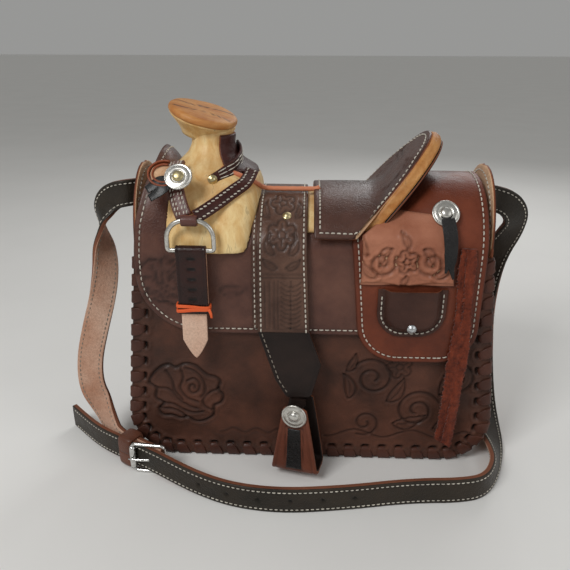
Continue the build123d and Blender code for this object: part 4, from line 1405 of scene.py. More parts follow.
    def path(self, name: str, route: Sequence[Row], grain: float) -> StrapPath:
        """A strap's line with its width turning smoothly along it.

        Args:
            name: name of the strap.
            route: control points and width directions.
            grain: 1 where the grain faces along x width, -1 where it faces the other way.

        Returns:
            The path.
        """
        points = self.spline(name, route)
        places, ways = (np.array(rows, float) for rows in zip(*route))
        starts, runs = places[:-1] / MM, np.diff(places / MM, axis=0)
        share = np.sum((points[:, None] - starts) * runs, axis=2) / np.sum(runs**2, axis=1)
        share = np.clip(share, 0, 1)
        away = np.linalg.norm(points[:, None] - starts - share[..., None] * runs, axis=2)
        nearest = np.argmin(away, axis=1)
        mark = np.maximum.accumulate(nearest + share[np.arange(len(points)), nearest])
        widths = read(mark, np.arange(len(ways)), unit(ways))
        settle(widths, 14)
        along = tangents(points)
        widths = square_to(widths, along)
        return StrapPath(points, widths, np.cross(along, widths) * grain)

    def strap(self, name: str, route: Sequence[Row],
              grain: float) -> tuple[bpy.types.Object, StrapPath, bpy.types.Object]:
        """One strap and its rows of stitches, with holes in the long one as dents painted with
        shade.

        Args:
            name: "long" or "short".
            route: control points and width directions.
            grain: which way the grain faces.

        Returns:
            The strap, its path and the object that holds its stitches.
        """
        path = self.path(name, route, grain)
        rows = resample(np.hstack([path.points, path.widths, path.normals]), 1.3)
        fine = StrapPath(rows[:, :3], rows[:, 3:6], rows[:, 6:9])
        across = edge_steps(self.width, 1.3)
        side = (across - self.width / 2) * -grain
        away = np.minimum(across, self.width - across)
        marks, half = travel(fine.points)[:, None], self.thick / 2
        lean = 0.12 * np.sin(marks / 19) * np.sin(side / 5)
        groove = 0.35 * ridge(away, self.seam_in, 0.6)
        top = half - rolled(away, 1.0) - groove + lean
        low = half - rolled(away, 0.6) - 0.3 * groove - lean
        dark = 0.45 * ridge(away, self.seam_in, 0.8) + 0 * top
        for i in range(self.hole_count if name == "long" else 0):
            near = np.hypot(marks - marks[-1] + self.hole_start + i * self.hole_pitch, side)
            top -= 1.3 * np.clip(1 - (near / 1.7) ** 4, 0, 1) - 0.22 * ridge(near, 2.3, 0.5)
            # Each hole is a dent painted near black: painted shade standing in for the open hole.
            dark = np.maximum(dark, np.clip(1.7 - near, 0, 1) * 1.1)
        place = fine.points[:, None] + fine.widths[:, None] * side[:, None]
        normals = fine.normals[:, None]
        piece = Parts().shell(place + normals * top[..., None], place - normals * low[..., None],
                              dark).build(f"{name}_shoulder_strap",
                                          (STRAP, STRAP_FLESH, STRAP_EDGE), "bag",
                                          f"{name}_strap")
        seams = Parts()
        for edge in (self.seam_in - self.width / 2, self.width / 2 - self.seam_in):
            for slot, face in enumerate((1.0, -1.0)):
                line = fine.line(edge, face * (half - 0.15))
                seams.stitches(line[4:-3], face * fine.normals[4:-3], slot, 3.7, 2.7, 0.42)
        return piece, path, seams.build(f"{name}_strap_stitches", (THREAD, DARK_THREAD), "bag")

    def place(self, x: float, y: float, z: float) -> Points:
        """Point of the buckle's own axes: x towards the strap's tip, y off the bag."""
        way = unit(np.array(self.strap_way))
        return self.buckle_at + way * x + np.cross([0, 0, 1.0], way) * y + np.array([0, 0, z])

    def buckle(self) -> bpy.types.Object:
        """Bent wire frame with rounded corners and a roller on its far bar.

        Returns:
            The frame.
        """
        spots = [self.place(*spot, sign * self.rail_z) for spot, sign in
                 ((self.heel, -1), (self.bar, -1), (self.bar, 1), (self.heel, 1))]
        ring = []
        for i, spot in enumerate(spots):
            a, c = (spot + unit(other - spot) * self.bend
                    for other in (spots[i - 1], spots[(i + 1) % 4]))
            ring += [(1 - t) ** 2 * a + 2 * t * (1 - t) * spot + t**2 * c
                     for t in np.linspace(0, 1, 7)]
        ring = resample(np.vstack([ring, ring[:1]]), 1.2)[:-1]
        reach = self.rail_z - self.wire - 0.6
        roller = np.array([self.place(*self.bar, z) for z in np.linspace(-reach, reach, 9)])
        sizes = (2.1, 2.4, 2.5, 2.5, 2.5, 2.5, 2.5, 2.4, 2.1)
        return Parts().sweep(
            ring, self.place(0, 1, 0) - self.place(0, 0, 0),
            round_section(self.wire, 12, 0.85), close=True,
        ).sweep(roller, (1, 0, 0), [round_section(size, 18) for size in sizes]).build(
            "roller_buckle", (CHROME,), "bag", "buckle_frame")

    def prong(self) -> bpy.types.Object:
        """Prong with its eye round the heel bar, bent down over the roller.

        Returns:
            The prong.
        """
        turn = math.radians(self.prong_angle)
        along = np.array([math.cos(turn), math.sin(turn)])
        up = np.array([-along[1], along[0]])
        eye = circle(*self.heel, 2.45, np.linspace(0, 2 * np.pi, 24, endpoint=False))
        rows, sections = [], []
        for t in np.linspace(0.09, 1, 14):
            lift = 0.9 * math.sin(math.pi * t) - 0.9 * max(0.0, t - 0.85) * 6
            spot = self.heel + along * self.prong_length * t + up * lift
            rows.append(self.place(*spot, 0))
            sections.append(
                round_section(1.15 - 0.35 * t**3 - (0.35 if t > 0.98 else 0), 12, 0.8))
        return Parts().sweep(
            np.array([self.place(*spot, 0) for spot in eye]), (0, 0, 1),
            round_section(1.05, 10, 0.6), close=True,
        ).sweep(np.array(rows), (0, 0, 1), sections).build(
            "buckle_tongue", (CHROME,), "prong", "buckle_prong")

    def keeper(self) -> bpy.types.Object:
        """Leather ring round both straps beside the buckle.

        Returns:
            The keeper.
        """
        x, y = self.keeper_at
        grids = [[], []]
        for j in np.linspace(-6.5, 6.5, 11):
            swell = (self.keeper_wall + 0.5 * (1 - (j / 6.5) ** 2)
                     - 0.45 * max(0.0, abs(j) - 5.3))
            for grid, extra in zip(grids, (swell, 0.0)):
                grid.append([])
                for a in np.linspace(0, 2 * np.pi, 49):
                    c, s = squared(a, 7)
                    grid[-1].append(self.place(x + j, y + (self.keeper_half[0] + extra) * c,
                                               (self.keeper_half[1] + extra) * s))
        return Parts().shell(*map(np.array, grids)).build(
            "keeper_loop", (KEEPER, STRAP_FLESH, STRAP_EDGE), "bag", "strap_keeper")

    def rivets(self) -> None:
        """Domed rivets through the straps' ends."""
        parts = Parts()
        for sign, y, z in ((1, -11.5, 202.0), (-1, 11.0, 206.0)):
            parts.lathe(rivet_profile(3.6), axes((sign * 131.4, y, z), (sign, 0, 0), (0, 1, 0)))
        parts.build("strap_rivets", (BRASS,), "bag", "anchor_rivets")


# ---- bag ----------------------------------------------------------------------------
@dataclass
class BagBody:
    """Front and back panels and the gusset band between them."""

    half_depth: float = 47.5
    half_band: float = 45.0
    thick: float = 2.5
    low: float = 1.6
    spring: float = 172.0
    half_bottom: float = 144.5
    slope: float = 0.1027
    corner_x: float = 104.6
    corner_z: float = 37.6
    corner: float = 36.0
    tongue_top: float = 229.0
    seam_in: float = 4.2
    lace_reach: float = 9.0
    lace_count: int = 44

    @property
    def half_top(self) -> float:
        """Half width of a panel at its top."""
        return self.half_bottom - self.slope * (self.spring - self.low)

    def half_width(self, z: Points) -> Points:
        """Half width of a panel at the height z.

        Args:
            z: heights in mm.

        Returns:
            Half widths in mm.
        """
        side = self.half_bottom - self.slope * (z - self.low)
        rise = np.clip((z - self.corner_z) / self.corner, -1, 1)
        turn = self.corner_x + self.corner * np.sqrt(1 - rise**2)
        return np.where(z < self.corner_z + 3.7, np.minimum(turn, side + 9), side)

    def outline(self, step: float = 1.0) -> Points:
        """Panel's outline from the top left round the bottom to the top right, in x and z.

        Args:
            step: distance between its points.

        Returns:
            Rows of x and z.
        """
        arc = circle(self.corner_x, self.corner_z, self.corner,
                     np.linspace(math.atan(self.slope), -math.pi / 2, 40))
        right = np.vstack([[(self.half_top, self.spring)], arc])
        return resample(np.vstack([right * (-1.0, 1.0), right[::-1]]), step)

    def lace_places(self) -> list[tuple[Points, Points, Points]]:
        """Where the lace goes round the edge.

        Returns:
            The place on the edge, the direction along it and the direction inward of each loop.
        """
        line = self.outline(0.5)
        marks = travel(line)
        at = (np.arange(self.lace_count) + 0.5) / self.lace_count * marks[-1]
        along = unit(read(at + 1, marks, line) - read(at - 1, marks, line))
        return list(zip(read(at, marks, line), along, along[:, ::-1] * (-1.0, 1.0)))

    def build(self) -> None:
        """Makes the panels and the band."""
        self.panel(-1.0, "front", self.front_tooling())
        self.panel(1.0, "back", self.back_tooling())
        self.band()
        dress(DARK_AND_SHADE, "hinge_welt", "back_fender_tab")
        dress(NICKEL, "snap_socket")

    def holed(self) -> Tooling:
        """Tooling of a panel with its lace holes cut in deep, their darkness painted shade.

        Returns:
            The tooling, to be carved further.
        """
        tooling = Tooling()
        for spot, along, inward in self.lace_places():
            middle = spot + inward * (self.lace_reach + 1.2) - along * 1.6
            # Each lace hole is a deep cut painted near black: painted shade, not an open hole.
            tooling.cut([middle - along * 1.5, middle + along * 1.5], 1.5, 1.6)
        return tooling

    def front_tooling(self) -> Tooling:
        """Rose at the pommel end, scrolls and leaves at the other.

        Returns:
            The tooling.
        """
        t = self.holed()
        t.rose(-95.5, 57.0, 27.5)
        t.scroll(48.0, 74.0, 17.0, 2.4, -1.5, 0.8)
        t.scroll(84.0, 46.0, 18.0, 0.4, 1.6, 0.8)
        t.scroll(112.0, 74.0, 13.0, 1.2, -1.4, 0.7)
        t.scroll(44.0, 34.0, 12.0, 4.2, 1.4, 0.7)
        t.flower(68.0, 84.0, 10.0, 5, 0.6)
        for x, z, length, angle in ((60.0, 54.0, 24.0, 0.5), (66.0, 34.0, 26.0, -0.25),
                                    (98.0, 30.0, 22.0, 0.25), (30.0, 56.0, 22.0, 1.2),
                                    (100.0, 60.0, 18.0, 0.9), (28.0, 80.0, 16.0, 0.6)):
            t.leaf(x, z, length, angle, 0.55, 0.7)
        wave = np.linspace(-2.4, 2.4, 60)
        for x, wide, high, depth in ((70, 24, 3.4, 0.6), (-46, 10, 2.0, 0.35)):
            t.cut(np.stack([x + wide * wave, 24 + high * np.sin(3.4 * wave)], -1), 0.9, depth)
        return t

    def back_tooling(self) -> Tooling:
        """Plain mirrored scrolls inside a border.

        Returns:
            The tooling.
        """
        t = self.holed()
        line = self.outline(3.0)
        t.cut(line + tangents(line)[:, ::-1] * (-15.5, 15.5), 0.8, 0.45)
        for sign in (-1.0, 1.0):
            t.scroll(sign * 84.0, 52.0, 20.0, 1.57 + sign * 0.9, sign * 1.6, 0.7)
            t.leaf(sign * 66.0, 40.0, 26.0, 1.57 - sign * 1.3, sign * 0.5, 0.6)
            t.leaf(sign * 106.0, 78.0, 20.0, 1.57 - sign * 0.5, sign * 0.5, 0.6)
        t.flower(0.0, 92.0, 11.0, 5, 0.5)
        return t

    def panel(self, side: float, name: str, tooling: Tooling) -> None:
        """One panel of thick leather, carved on its outer face.

        Args:
            side: -1 for the front, 1 for the back.
            name: "front" or "back".
            tooling: what is carved.
        """
        rows = edge_steps(self.spring - self.low, 1.0) + self.low
        low = np.array([0.0, 0.15, 0.5, 0.9, 1.5, 2.4, 3.6, 5.0, 6.6]) + self.low
        rows = np.unique(np.concatenate([rows[rows > self.low + 7.2], low]))
        half = self.half_width(rows)
        x = spread(-half, half, 2 * self.half_bottom, 1.0)
        z = rows[:, None] + 0 * x
        line = self.outline(2.0)
        away = line_distance(x, z, np.vstack([line, line[:1]]))
        height, dark = tooling.at(x, z)
        dark = np.maximum(dark, 0.5 * ridge(away, 0, 2.0))
        sway = 0.5 * np.sin(x / 41 + 1) * np.sin(z / 33) * np.clip(away / 9, 0, 1)
        outer = (self.half_depth - rolled(away, 0.9) + 1.3 * height * np.clip(away / 2, 0, 1)
                 + sway)
        inner = self.half_depth - self.thick + rolled(away, 0.5)
        Parts().shell(*(np.stack([x, side * y, z], -1) for y in (outer, inner)), dark).build(
            f"carved_{name}_panel", (BAG, FLESH, EDGE), "bag", f"{name}_panel")

    def band(self) -> None:
        """Gusset band from one tongue's tip under the bag to the other's."""
        tall = self.tongue_top - self.spring
        rise = np.linspace(self.tongue_top - 0.25, self.spring + 1.5, 34)
        left = np.stack([np.full(rise.shape, -self.half_top), rise], -1)
        path = np.vstack([left, self.outline(2.0), left[::-1] * (-1.0, 1.0)])
        along = tangents(path)
        settle(along, 3)
        out = unit(along[:, ::-1] * (1.0, -1.0))
        share = np.clip((path[:, 1] - self.spring) / tall, 0, 1)
        half = np.maximum(self.half_band * np.sqrt(1 - share**2), 1.2)
        across = edge_steps(90.0, 2.6) / 90.0 * 2 - 1
        y = half[:, None] * across
        free = np.clip((path[:, 1:] - self.spring) / 6, 0, 1)
        away = (half[:, None] - np.abs(y)) * free + 9 * (1 - free)
        away[[0, -1]] = np.minimum(away[[0, -1]], 0.1)
        sag = 1.3 * (1 - across**2) * np.clip((path[:, 1:] - 14) / 30, 0, 1)
        curl = -1.25 * free * share[:, None] ** 1.6

        def layer(depth: Points) -> Points:
            """Grid of points at a depth inside the band's grain side.

            Args:
                depth: depth in mm, one number or one for each point.

            Returns:
                Rows by columns by 3.
            """
            shift = -(depth + sag)
            x = path[:, :1] + out[:, :1] * shift - np.sign(path[:, :1]) * curl
            return np.stack([x, y, path[:, 1:] + out[:, 1:] * shift], -1)

        parts = Parts().shell(layer(rolled(away, 0.8) + 0.05), layer(2.4 - rolled(away, 0.6)),
                              0.7 * ridge(away, 4.0, 0.7) * free)
        rim = np.linspace(0.06, math.pi - 0.06, 90)
        ring_y = (self.half_band - self.seam_in) * np.cos(rim)
        ring_z = self.spring + (tall - self.seam_in) * np.sin(rim)
        lean = np.clip((ring_z - self.spring) / tall, 0, 1) ** 1.6
        sagged = 1.3 * (1 - (ring_y / self.half_band) ** 2)
        for sign in (-1.0, 1.0):
            for depth, face in ((-0.2, sign), (2.3, -sign)):
                x = sign * (self.half_top - depth - sagged + 1.25 * lean)
                parts.stitches(np.stack([x, ring_y, ring_z], -1), (face, 0, 0), 3, 4.2, 3.0, 0.52)
        parts.build("gusset_band", (GUSSET, FLESH, EDGE, THREAD), "bag",
                    "bottom_gusset", "left_gusset", "right_gusset")


# ---- lacing -------------------------------------------------------------------------
@dataclass
class Lacing:
    """Flat lace whipped round both edges of the bag.

    course gives each loop's way: distance in from the edge, distance off the panel's
    face, share of the slack, share of the lean along the edge, and share of the width.
    """

    body: BagBody
    width: float = 8.4
    thick: float = 1.5
    slant: float = 4.6
    seed: int = 7
    course: tuple[tuple[float, ...], ...] = (
        (9.2, -1.3, 0, -0.50, 0.42), (8.6, -0.3, 0, -0.46, 0.58), (7.7, 0.45, 0, -0.42, 0.76),
        (6.2, 0.7, 1, -0.32, 0.94), (4.0, 0.8, 1, -0.16, 1.06), (1.9, 0.75, 0, 0.0, 1.1),
        (0.55, 0.42, 0, 0.08, 1.1), (-0.35, -0.35, 0, 0.14, 1.08), (-0.72, -1.5, 0, 0.2, 1.05),
        (-0.8, -3.6, 0, 0.3, 1.02), (-0.75, -5.8, 0, 0.4, 1.0), (-0.4, -7.4, 0, 0.46, 0.92),
        (0.5, -8.4, 0, 0.5, 0.75), (1.6, -8.9, 0, 0.52, 0.6),
    )

    def build(self) -> None:
        """Makes the loops of both edges."""
        for side, name in ((-1.0, "front_lacing"), (1.0, "back_lacing")):
            chance = random.Random(self.seed)
            parts = Parts()
            for spot, along, inward in self.body.lace_places():
                self.loop(parts, spot, along, inward, side, chance)
            parts.build(f"whipped_{name}", (LACE,), "bag", name)

    def loop(self, parts: Parts, spot: Points, along: Points, inward: Points, side: float,
             chance: random.Random) -> None:
        """One loop from its hole over the edge and in behind the band's edge.

        Args:
            parts: where it goes.
            spot: place on the edge, in x and z.
            along: direction along the edge.
            inward: direction into the panel.
            side: -1 for the front, 1 for the back.
            chance: seeded source of small differences.
        """
        face = self.body.half_depth
        slack = chance.uniform(0.0, 0.25)
        lean = self.slant * chance.uniform(0.75, 1.2)
        path, sections = [], []
        for inset, off, loose, share, wide in self.course:
            x, z = spot + inward * inset + along * (share * lean)
            y = face + min(off + loose * slack, 1.6 - self.thick / 2)
            path.append((x, side * y, z))
            sections.append(strap_section(self.width * wide * chance.uniform(0.96, 1.03),
                                          self.thick))
        parts.sweep(path, (along[0], 0.0, along[1]), sections, 0, chance.uniform(0.0, 0.22))


# ---- skirts -------------------------------------------------------------------------
def lobe_edge(straight: float, hem: float, radius: float, sign: float) -> Edge:
    """Side edge that rounds into a hem.

    Args:
        straight: x of the edge above the rounding.
        hem: place of the hem over the form, negative below the spring line.
        radius: radius of the rounding.
        sign: -1 for a left edge, 1 for a right one.

    Returns:
        Function that gives x of the edge at places over the form.
    """

    def edge(v: Points) -> Points:
        """x of the edge at v."""
        drop = np.clip((hem + radius - v) / radius, 0, 1)
        return straight - sign * radius * (1 - np.sqrt(1 - drop**2))

    return edge


def lobe_rows(hem: float, radius: float, end: float, step: float) -> Points:
    """Places from a hem to an end, close together where the side edges round.

    Args:
        hem: place of the hem over the form.
        radius: radius of the rounding.
        end: the last place.
        step: distance between places away from the hem and the end.

    Returns:
        The places.
    """
    low = hem + radius * (1 - np.cos(np.linspace(0, math.pi / 2, 34)))
    early = hem + np.array([0.12, 0.35, 0.7, 1.2])
    rest = np.arange(hem + radius + step, end - 2.0, step)
    rim = end - np.array([1.9, 1.1, 0.55, 0.2, 0.0])
    return np.unique(np.round(np.concatenate([low, early, rest, rim]), 4))


@dataclass
class FlapSkirts:
    """Front skirt over the whole bag and the shorter rear skirt on it."""

    left: float = -126.0
    right: float = 119.0
    hem: float = -60.0
    lobe: float = 46.0
    skirt_in: float = 1.9
    skirt_out: float = 4.3
    rear_out: float = 6.7
    rear_left: float = 36.0
    rear_lean: float = 9.0
    rear_right: float = 121.0
    rear_hem: float = -80.0
    rear_lobe: float = 28.0
    step: float = 2.2
    seam_in: float = 4.0
    stitch: tuple[float, float, float] = (4.3, 3.2, 0.5)

    def build(self) -> None:
        """Makes both skirts and their stitches."""
        self.skirt()
        self.rear()
        dress(NICKEL, "snap_stud")

    def left_edge(self, v: Points) -> Points:
        """Left edge of the front skirt at places over the form.

        Args:
            v: places over the form.

        Returns:
            x at each place.
        """
        girth = FORM.girth
        lobed = lobe_edge(self.left, self.hem, self.lobe, -1.0)(np.minimum(v, girth - v))
        z = FORM.spring + (237.0 - FORM.spring) * np.sin(np.pi * np.clip(v / girth, 0, 1))
        return lobed + np.interp(z, [172.0, 194.0, 213.0, 229.0, 240.0],
                                 [0.0, 2.0, 7.0, 13.5, 16.5])

    def skirt(self) -> None:
        """The front and back skirt in one sheet, and its stitches."""
        middle = FORM.girth / 2
        half = lobe_rows(self.hem, self.lobe, middle + 1.8, self.step)
        half = half[half < middle - 0.5]
        rows = np.concatenate([half, [middle], (2 * middle - half)[::-1]])
        t = Tooling()
        t.rose(-104.0, -20.0, 19.0)
        t.leaf(-66.0, -24.0, 20.0, -0.5)
        sheet = Sheet(rows, self.left_edge, self.right, self.skirt_in, self.skirt_out, self.step,
                      t, self.seam_in, 0.35, 0.35)
        skirt = sheet.add_to(Parts()).build("saddle_skirt", (SKIRT, FLESH, EDGE), "",
                                            "front_skirt", "back_skirt")
        seams = sheet.sew(Parts(), ("left", "hem", "end"), self.seam_in, 0, *self.stitch)
        for piece in (skirt, seams.build("skirt_stitches", (THREAD,), "")):
            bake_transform(piece)

    def rear(self) -> None:
        """Rear skirt of chestnut leather with its stitches."""
        hem = self.rear_hem
        lobed = lobe_edge(self.rear_left, hem, self.rear_lobe, -1.0)
        sheet = Sheet(lobe_rows(hem, self.rear_lobe, FORM.girth - 2.2, self.step),
                      lambda v: lobed(v) - (np.clip(v, hem, 19.0) - hem) / 99.0 * self.rear_lean,
                      lobe_edge(self.rear_right, hem, self.rear_lobe, 1.0),
                      self.skirt_out + 0.1, self.rear_out, self.step, None, self.seam_in, 0.35,
                      0.3)
        parts = sheet.add_to(Parts())
        sheet.sew(parts, ("left", "hem", "right"), self.seam_in, 3, *self.stitch)
        parts.build("rear_skirt_leather", (REAR, FLESH, EDGE, THREAD), "flap", "rear_skirt")


# ---- pommel -------------------------------------------------------------------------
@dataclass
class Pommel:
    """Carved wooden fork, horn cap, and the leather wrapped round its neck.

    levels gives the fork's height, middle, half sizes and squareness, from the top down.
    """

    levels: tuple[tuple[float, float, float, float, float], ...] = (
        (254.5, -73.5, 17.0, 15.0, 2.2), (249.0, -74.5, 14.8, 14.6, 2.1),
        (243.0, -75.0, 14.6, 15.5, 2.1), (237.0, -75.5, 17.0, 18.0, 2.2),
        (231.0, -76.0, 23.0, 22.5, 2.4), (225.5, -75.0, 30.0, 28.5, 2.7),
        (220.0, -74.2, 34.6, 35.5, 3.0), (213.0, -74.0, 36.2, 43.0, 3.4),
        (205.0, -74.0, 36.4, 49.0, 3.8), (196.0, -74.0, 36.2, 53.5, 4.2),
        (186.0, -74.0, 35.0, 56.8, 4.6), (178.5, -74.0, 34.0, 57.6, 5.0),
        (175.2, -74.0, 33.0, 57.0, 5.0),
    )
    voxel: float = 0.95
    hollow_out: float = 4.45
    cap_at: tuple[float, float, float] = (-81.0, 0.0, 262.0)
    cap_radius: float = 25.4
    cap_turn: tuple[float, float] = (8.0, 16.0)
    cap_under: tuple[tuple[float, float], ...] = (
        (12.4, -14.5), (13.4, -12.6), (15.4, -9.8), (18.2, -7.0), (21.2, -4.3), (23.6, -2.1),
    )
    cap_rim: tuple[tuple[float, float], ...] = (
        (0.9, -0.7), (0.2, 0.2), (0.0, 1.2), (0.1, 2.6), (0.6, 3.6), (1.6, 4.3), (3.4, 4.7),
    )
    cap_top: tuple[tuple[float, float], ...] = (
        (18.0, 4.9), (14.0, 5.0), (10.0, 5.05), (6.0, 5.1), (3.0, 5.1), (0.05, 5.1),
    )
    strap_wide: float = 12.0
    strap_thick: float = 1.8

    def section(self, z: float) -> Points:
        """Middle, half sizes and squareness of the fork at a height."""
        table = np.array(self.levels[::-1])
        return read(z, table[:, 0], table[:, 1:])

    def surface(self, z: float, turn: float, out: float = 0.0) -> Points:
        """Point on the fork's wood.

        Args:
            z: height in mm.
            turn: angle from +X in radians.
            out: distance off the wood.

        Returns:
            The point in mm.
        """
        middle, rx, ry, power = self.section(z)
        c, s = math.cos(turn), math.sin(turn)
        k = (abs(c) ** power + abs(s) ** power) ** (-1 / power)
        return np.array([middle + (rx * k + out) * c, (ry * k + out) * s, z])

    def build(self) -> None:
        """Makes the fork, the horn, the wrap, its strap and the piping."""
        self.fork()
        self.horn()
        self.wrap()
        self.piping()
        self.wrap_strap()

    def fork(self) -> None:
        """The fork: one block of pale wood, hollowed over the skirts and remeshed."""
        rings = np.array([[self.surface(row[0], a) for a in np.linspace(0, 2 * np.pi, 73)[:-1]]
                          for row in self.levels[::-1]])
        block = Parts().add(rings, tube_faces(*rings.shape[:2])).build(
            "carved_fork", (FORK_WOOD, HORN_WOOD), "flap", "fork")
        cutter = self.cutter()
        cut = block.modifiers.new("hollow", "BOOLEAN")
        cut.operation, cut.solver, cut.object = "DIFFERENCE", "EXACT", cutter
        mould = block.modifiers.new("mould", "REMESH")
        mould.mode, mould.voxel_size = "VOXEL", self.voxel * MM
        mould.use_smooth_shade = True
        ease = block.modifiers.new("ease", "SMOOTH")
        ease.factor, ease.iterations = 0.5, 3
        made = block.evaluated_get(bpy.context.evaluated_depsgraph_get())
        old, block.data = block.data, bpy.data.meshes.new_from_object(made)
        block.modifiers.clear()
        bpy.data.meshes.remove(old)
        bpy.data.objects.remove(cutter)
        self.whittle(block.data)

    def cutter(self) -> bpy.types.Object:
        """Solid of the arch that the fork stands over.

        Returns:
            The solid.
        """
        s = np.linspace(-14.0, FORM.girth + 14.0, 100)
        grid = FORM.point(np.linspace(-150.0, -20.0, 66), s[:, None], self.hollow_out)[0]
        at = np.arange(grid[..., 0].size).reshape(grid.shape[:2])
        floor = np.stack([at[0, 1:], at[0, :-1], at[-1, :-1], at[-1, 1:]], -1)
        return put("arch", Parts().add(grid, [*quads(at), *floor, at[::-1, 0], at[:, -1]])
                   .mesh("arch"))

    def whittle(self, mesh: bpy.types.Mesh) -> None:
        """Leaves shallow knife facets on the wood and darkens its hollows.

        Args:
            mesh: the hollowed block.
        """
        at, away = np.empty((2, len(mesh.vertices) * 3))
        mesh.vertices.foreach_get("co", at)
        mesh.vertices.foreach_get("normal", away)
        at = at.reshape(-1, 3) / MM
        x, y, z = at.T
        ripple = 0.28 * np.abs(np.sin(x / 5.3 + 0.6 * np.sin(z / 7)) * np.sin(z / 8.1 + y / 9.0))
        ripple += 0.12 * np.sin(x / 1.9 + z / 6) * np.sin(z / 2.7 - y / 3.1)
        crack = ridge(y - 0.25 * x, -15.0, 0.5) * (z < 214) * (z > 196)
        at = at + away.reshape(-1, 3) * (ripple * 0.8 - 0.15 - 0.5 * crack)[:, None]
        mesh.vertices.foreach_set("co", (at * MM).ravel())
        layer = mesh.attributes.get("shade") or mesh.attributes.new("shade", "FLOAT", "POINT")
        dark = 0.5 * crack + 0.15 * ridge(z, 231, 5)
        layer.data.foreach_set("value", np.clip(dark, 0, 1))
        mesh.polygons.foreach_set("use_smooth", [True] * len(mesh.polygons))
        mesh.polygons.foreach_set("material_index", [0] * len(mesh.polygons))
        mesh.update()

    def horn(self) -> None:
        """Flat horn cap that leans down towards the seat, on its flared neck."""
        lean, tilt = (math.radians(a) for a in self.cap_turn)
        place = (Matrix.Translation(self.cap_at) @ Matrix.Rotation(lean, 4, "X")
                 @ Matrix.Rotation(tilt, 4, "Y"))
        rim = [(self.cap_radius - inward, height) for inward, height in self.cap_rim]

        def worn(radius: Points, turn: Points) -> Points:
            """Uneven hand-worked surface of the cap."""
            dents = 0.14 * np.sin(5 * turn + radius / 3) * (radius > 3)
            return 0.25 * np.sin(2 * turn + 0.6) * radius / 25 + dents

        parts = Parts().lathe((*self.cap_under, rim[0]), place, 56)
        parts.lathe((*rim, *self.cap_top), place, 56, 1, worn)
        points = np.vstack(parts.points)
        local = np.linalg.inv(np.array(place)) @ np.insert(points, 3, 1.0, axis=1).T
        x, y, z = local[:3]
        rings = (ridge(y - 2.2 * np.sin(x / 9), 5.5, 0.9)
                 + ridge(y - 1.6 * np.sin(x / 7 + 1), -8.0, 0.7))
        parts.shade = [np.where(z > 3.5, np.clip(rings, 0, 1), np.concatenate(parts.shade))]
        parts.build("horn_cap_turned", (FORK_WOOD, HORN_WOOD), "flap", "horn_cap")

    def wrap(self) -> None:
        """Dark leather round the back of the neck."""
        grids = [[], []]
        for t in np.linspace(0, 1, 22):
            puff = 2.6 - 0.9 * rolled(min(t, 1 - t) * 28, 1.0)
            for grid, out in zip(grids, (puff, 0.25)):
                grid.append([])
                for a in np.linspace(math.radians(-62), math.radians(62), 40):
                    low = 222.0 + 5.0 * abs(math.sin(a))
                    grid[-1].append(self.surface(low + (250.0 - low) * t, a, out))
        Parts().shell(*map(np.array, grids)).build("neck_wrap", (WRAP, FLESH, EDGE), "flap",
                                                   "horn_wrap")

    def wrap_strap(self) -> None:
        """Stitched strap that goes round the neck's foot from its rivet to the back."""
        path = np.array([self.surface(222.0 + 16.0 * t + 2.0 * math.sin(math.pi * t),
                                      math.radians(-86 + 116 * t), 1.3 + 1.7 * min(1.0, 4.0 * t))
                         for t in np.linspace(0, 1, 44)])
        along = tangents(path)
        wide = np.tile([0.0, 0.12, 1.0], (len(path), 1))
        up = square_to(wide, along)
        out = np.cross(along, up)
        out *= np.sign(np.sum(out * (path - path.mean(0)), axis=1))[:, None]
        width = self.strap_wide - 5.5 * np.clip(1 - np.arange(len(path)) / 9, 0, 1)
        half = self.strap_thick / 2
        parts = Parts().sweep(path, wide, [strap_section(w, 2 * half, 0.5) for w in width])
        for share in (-0.36, -0.13, 0.13, 0.36):
            line = path + up * (share * width)[:, None] + out * (half + 0.1)
            parts.stitches(line[4:-2], out[4:-2], 1, 7.5, 6.9, 0.4)
        place = axes(path[1] + out[1] * half, out[1], along[1])
        parts.lathe(rivet_profile(3.4), place, 24, 2)
        parts.build("neck_strap", (WRAP, THREAD, BRASS), "flap")

    def piping(self) -> None:
        """Rolled cord from the neck's foot back to the seat."""
        foot = [self.surface(z, math.radians(a), out) for z, a, out in
                ((228.5, -66.0, -1.5), (225.5, -54.0, 0.4), (222.0, -43.0, 1.2),
                 (218.0, -32.0, 1.2), (214.6, -22.0, 1.2))]
        line = smooth_line([*foot, (-33.0, -13.6, 212.5), (-24.0, -13.5, 212.2),
                            (-10.0, -13.5, 212.2), (2.0, -13.5, 212.4), (5.0, -13.5, 213.6)],
                           1.6)
        ripple = [round_section(1.75 + 0.1 * math.sin(k * 1.7), 12) for k in range(len(line))]
        Parts().sweep(line, (0, 1, 0), ripple).build("seat_piping", (PIPING,), "flap", "piping")


# ---- rigging ------------------------------------------------------------------------
Route = tuple[tuple[float, float, float], ...]


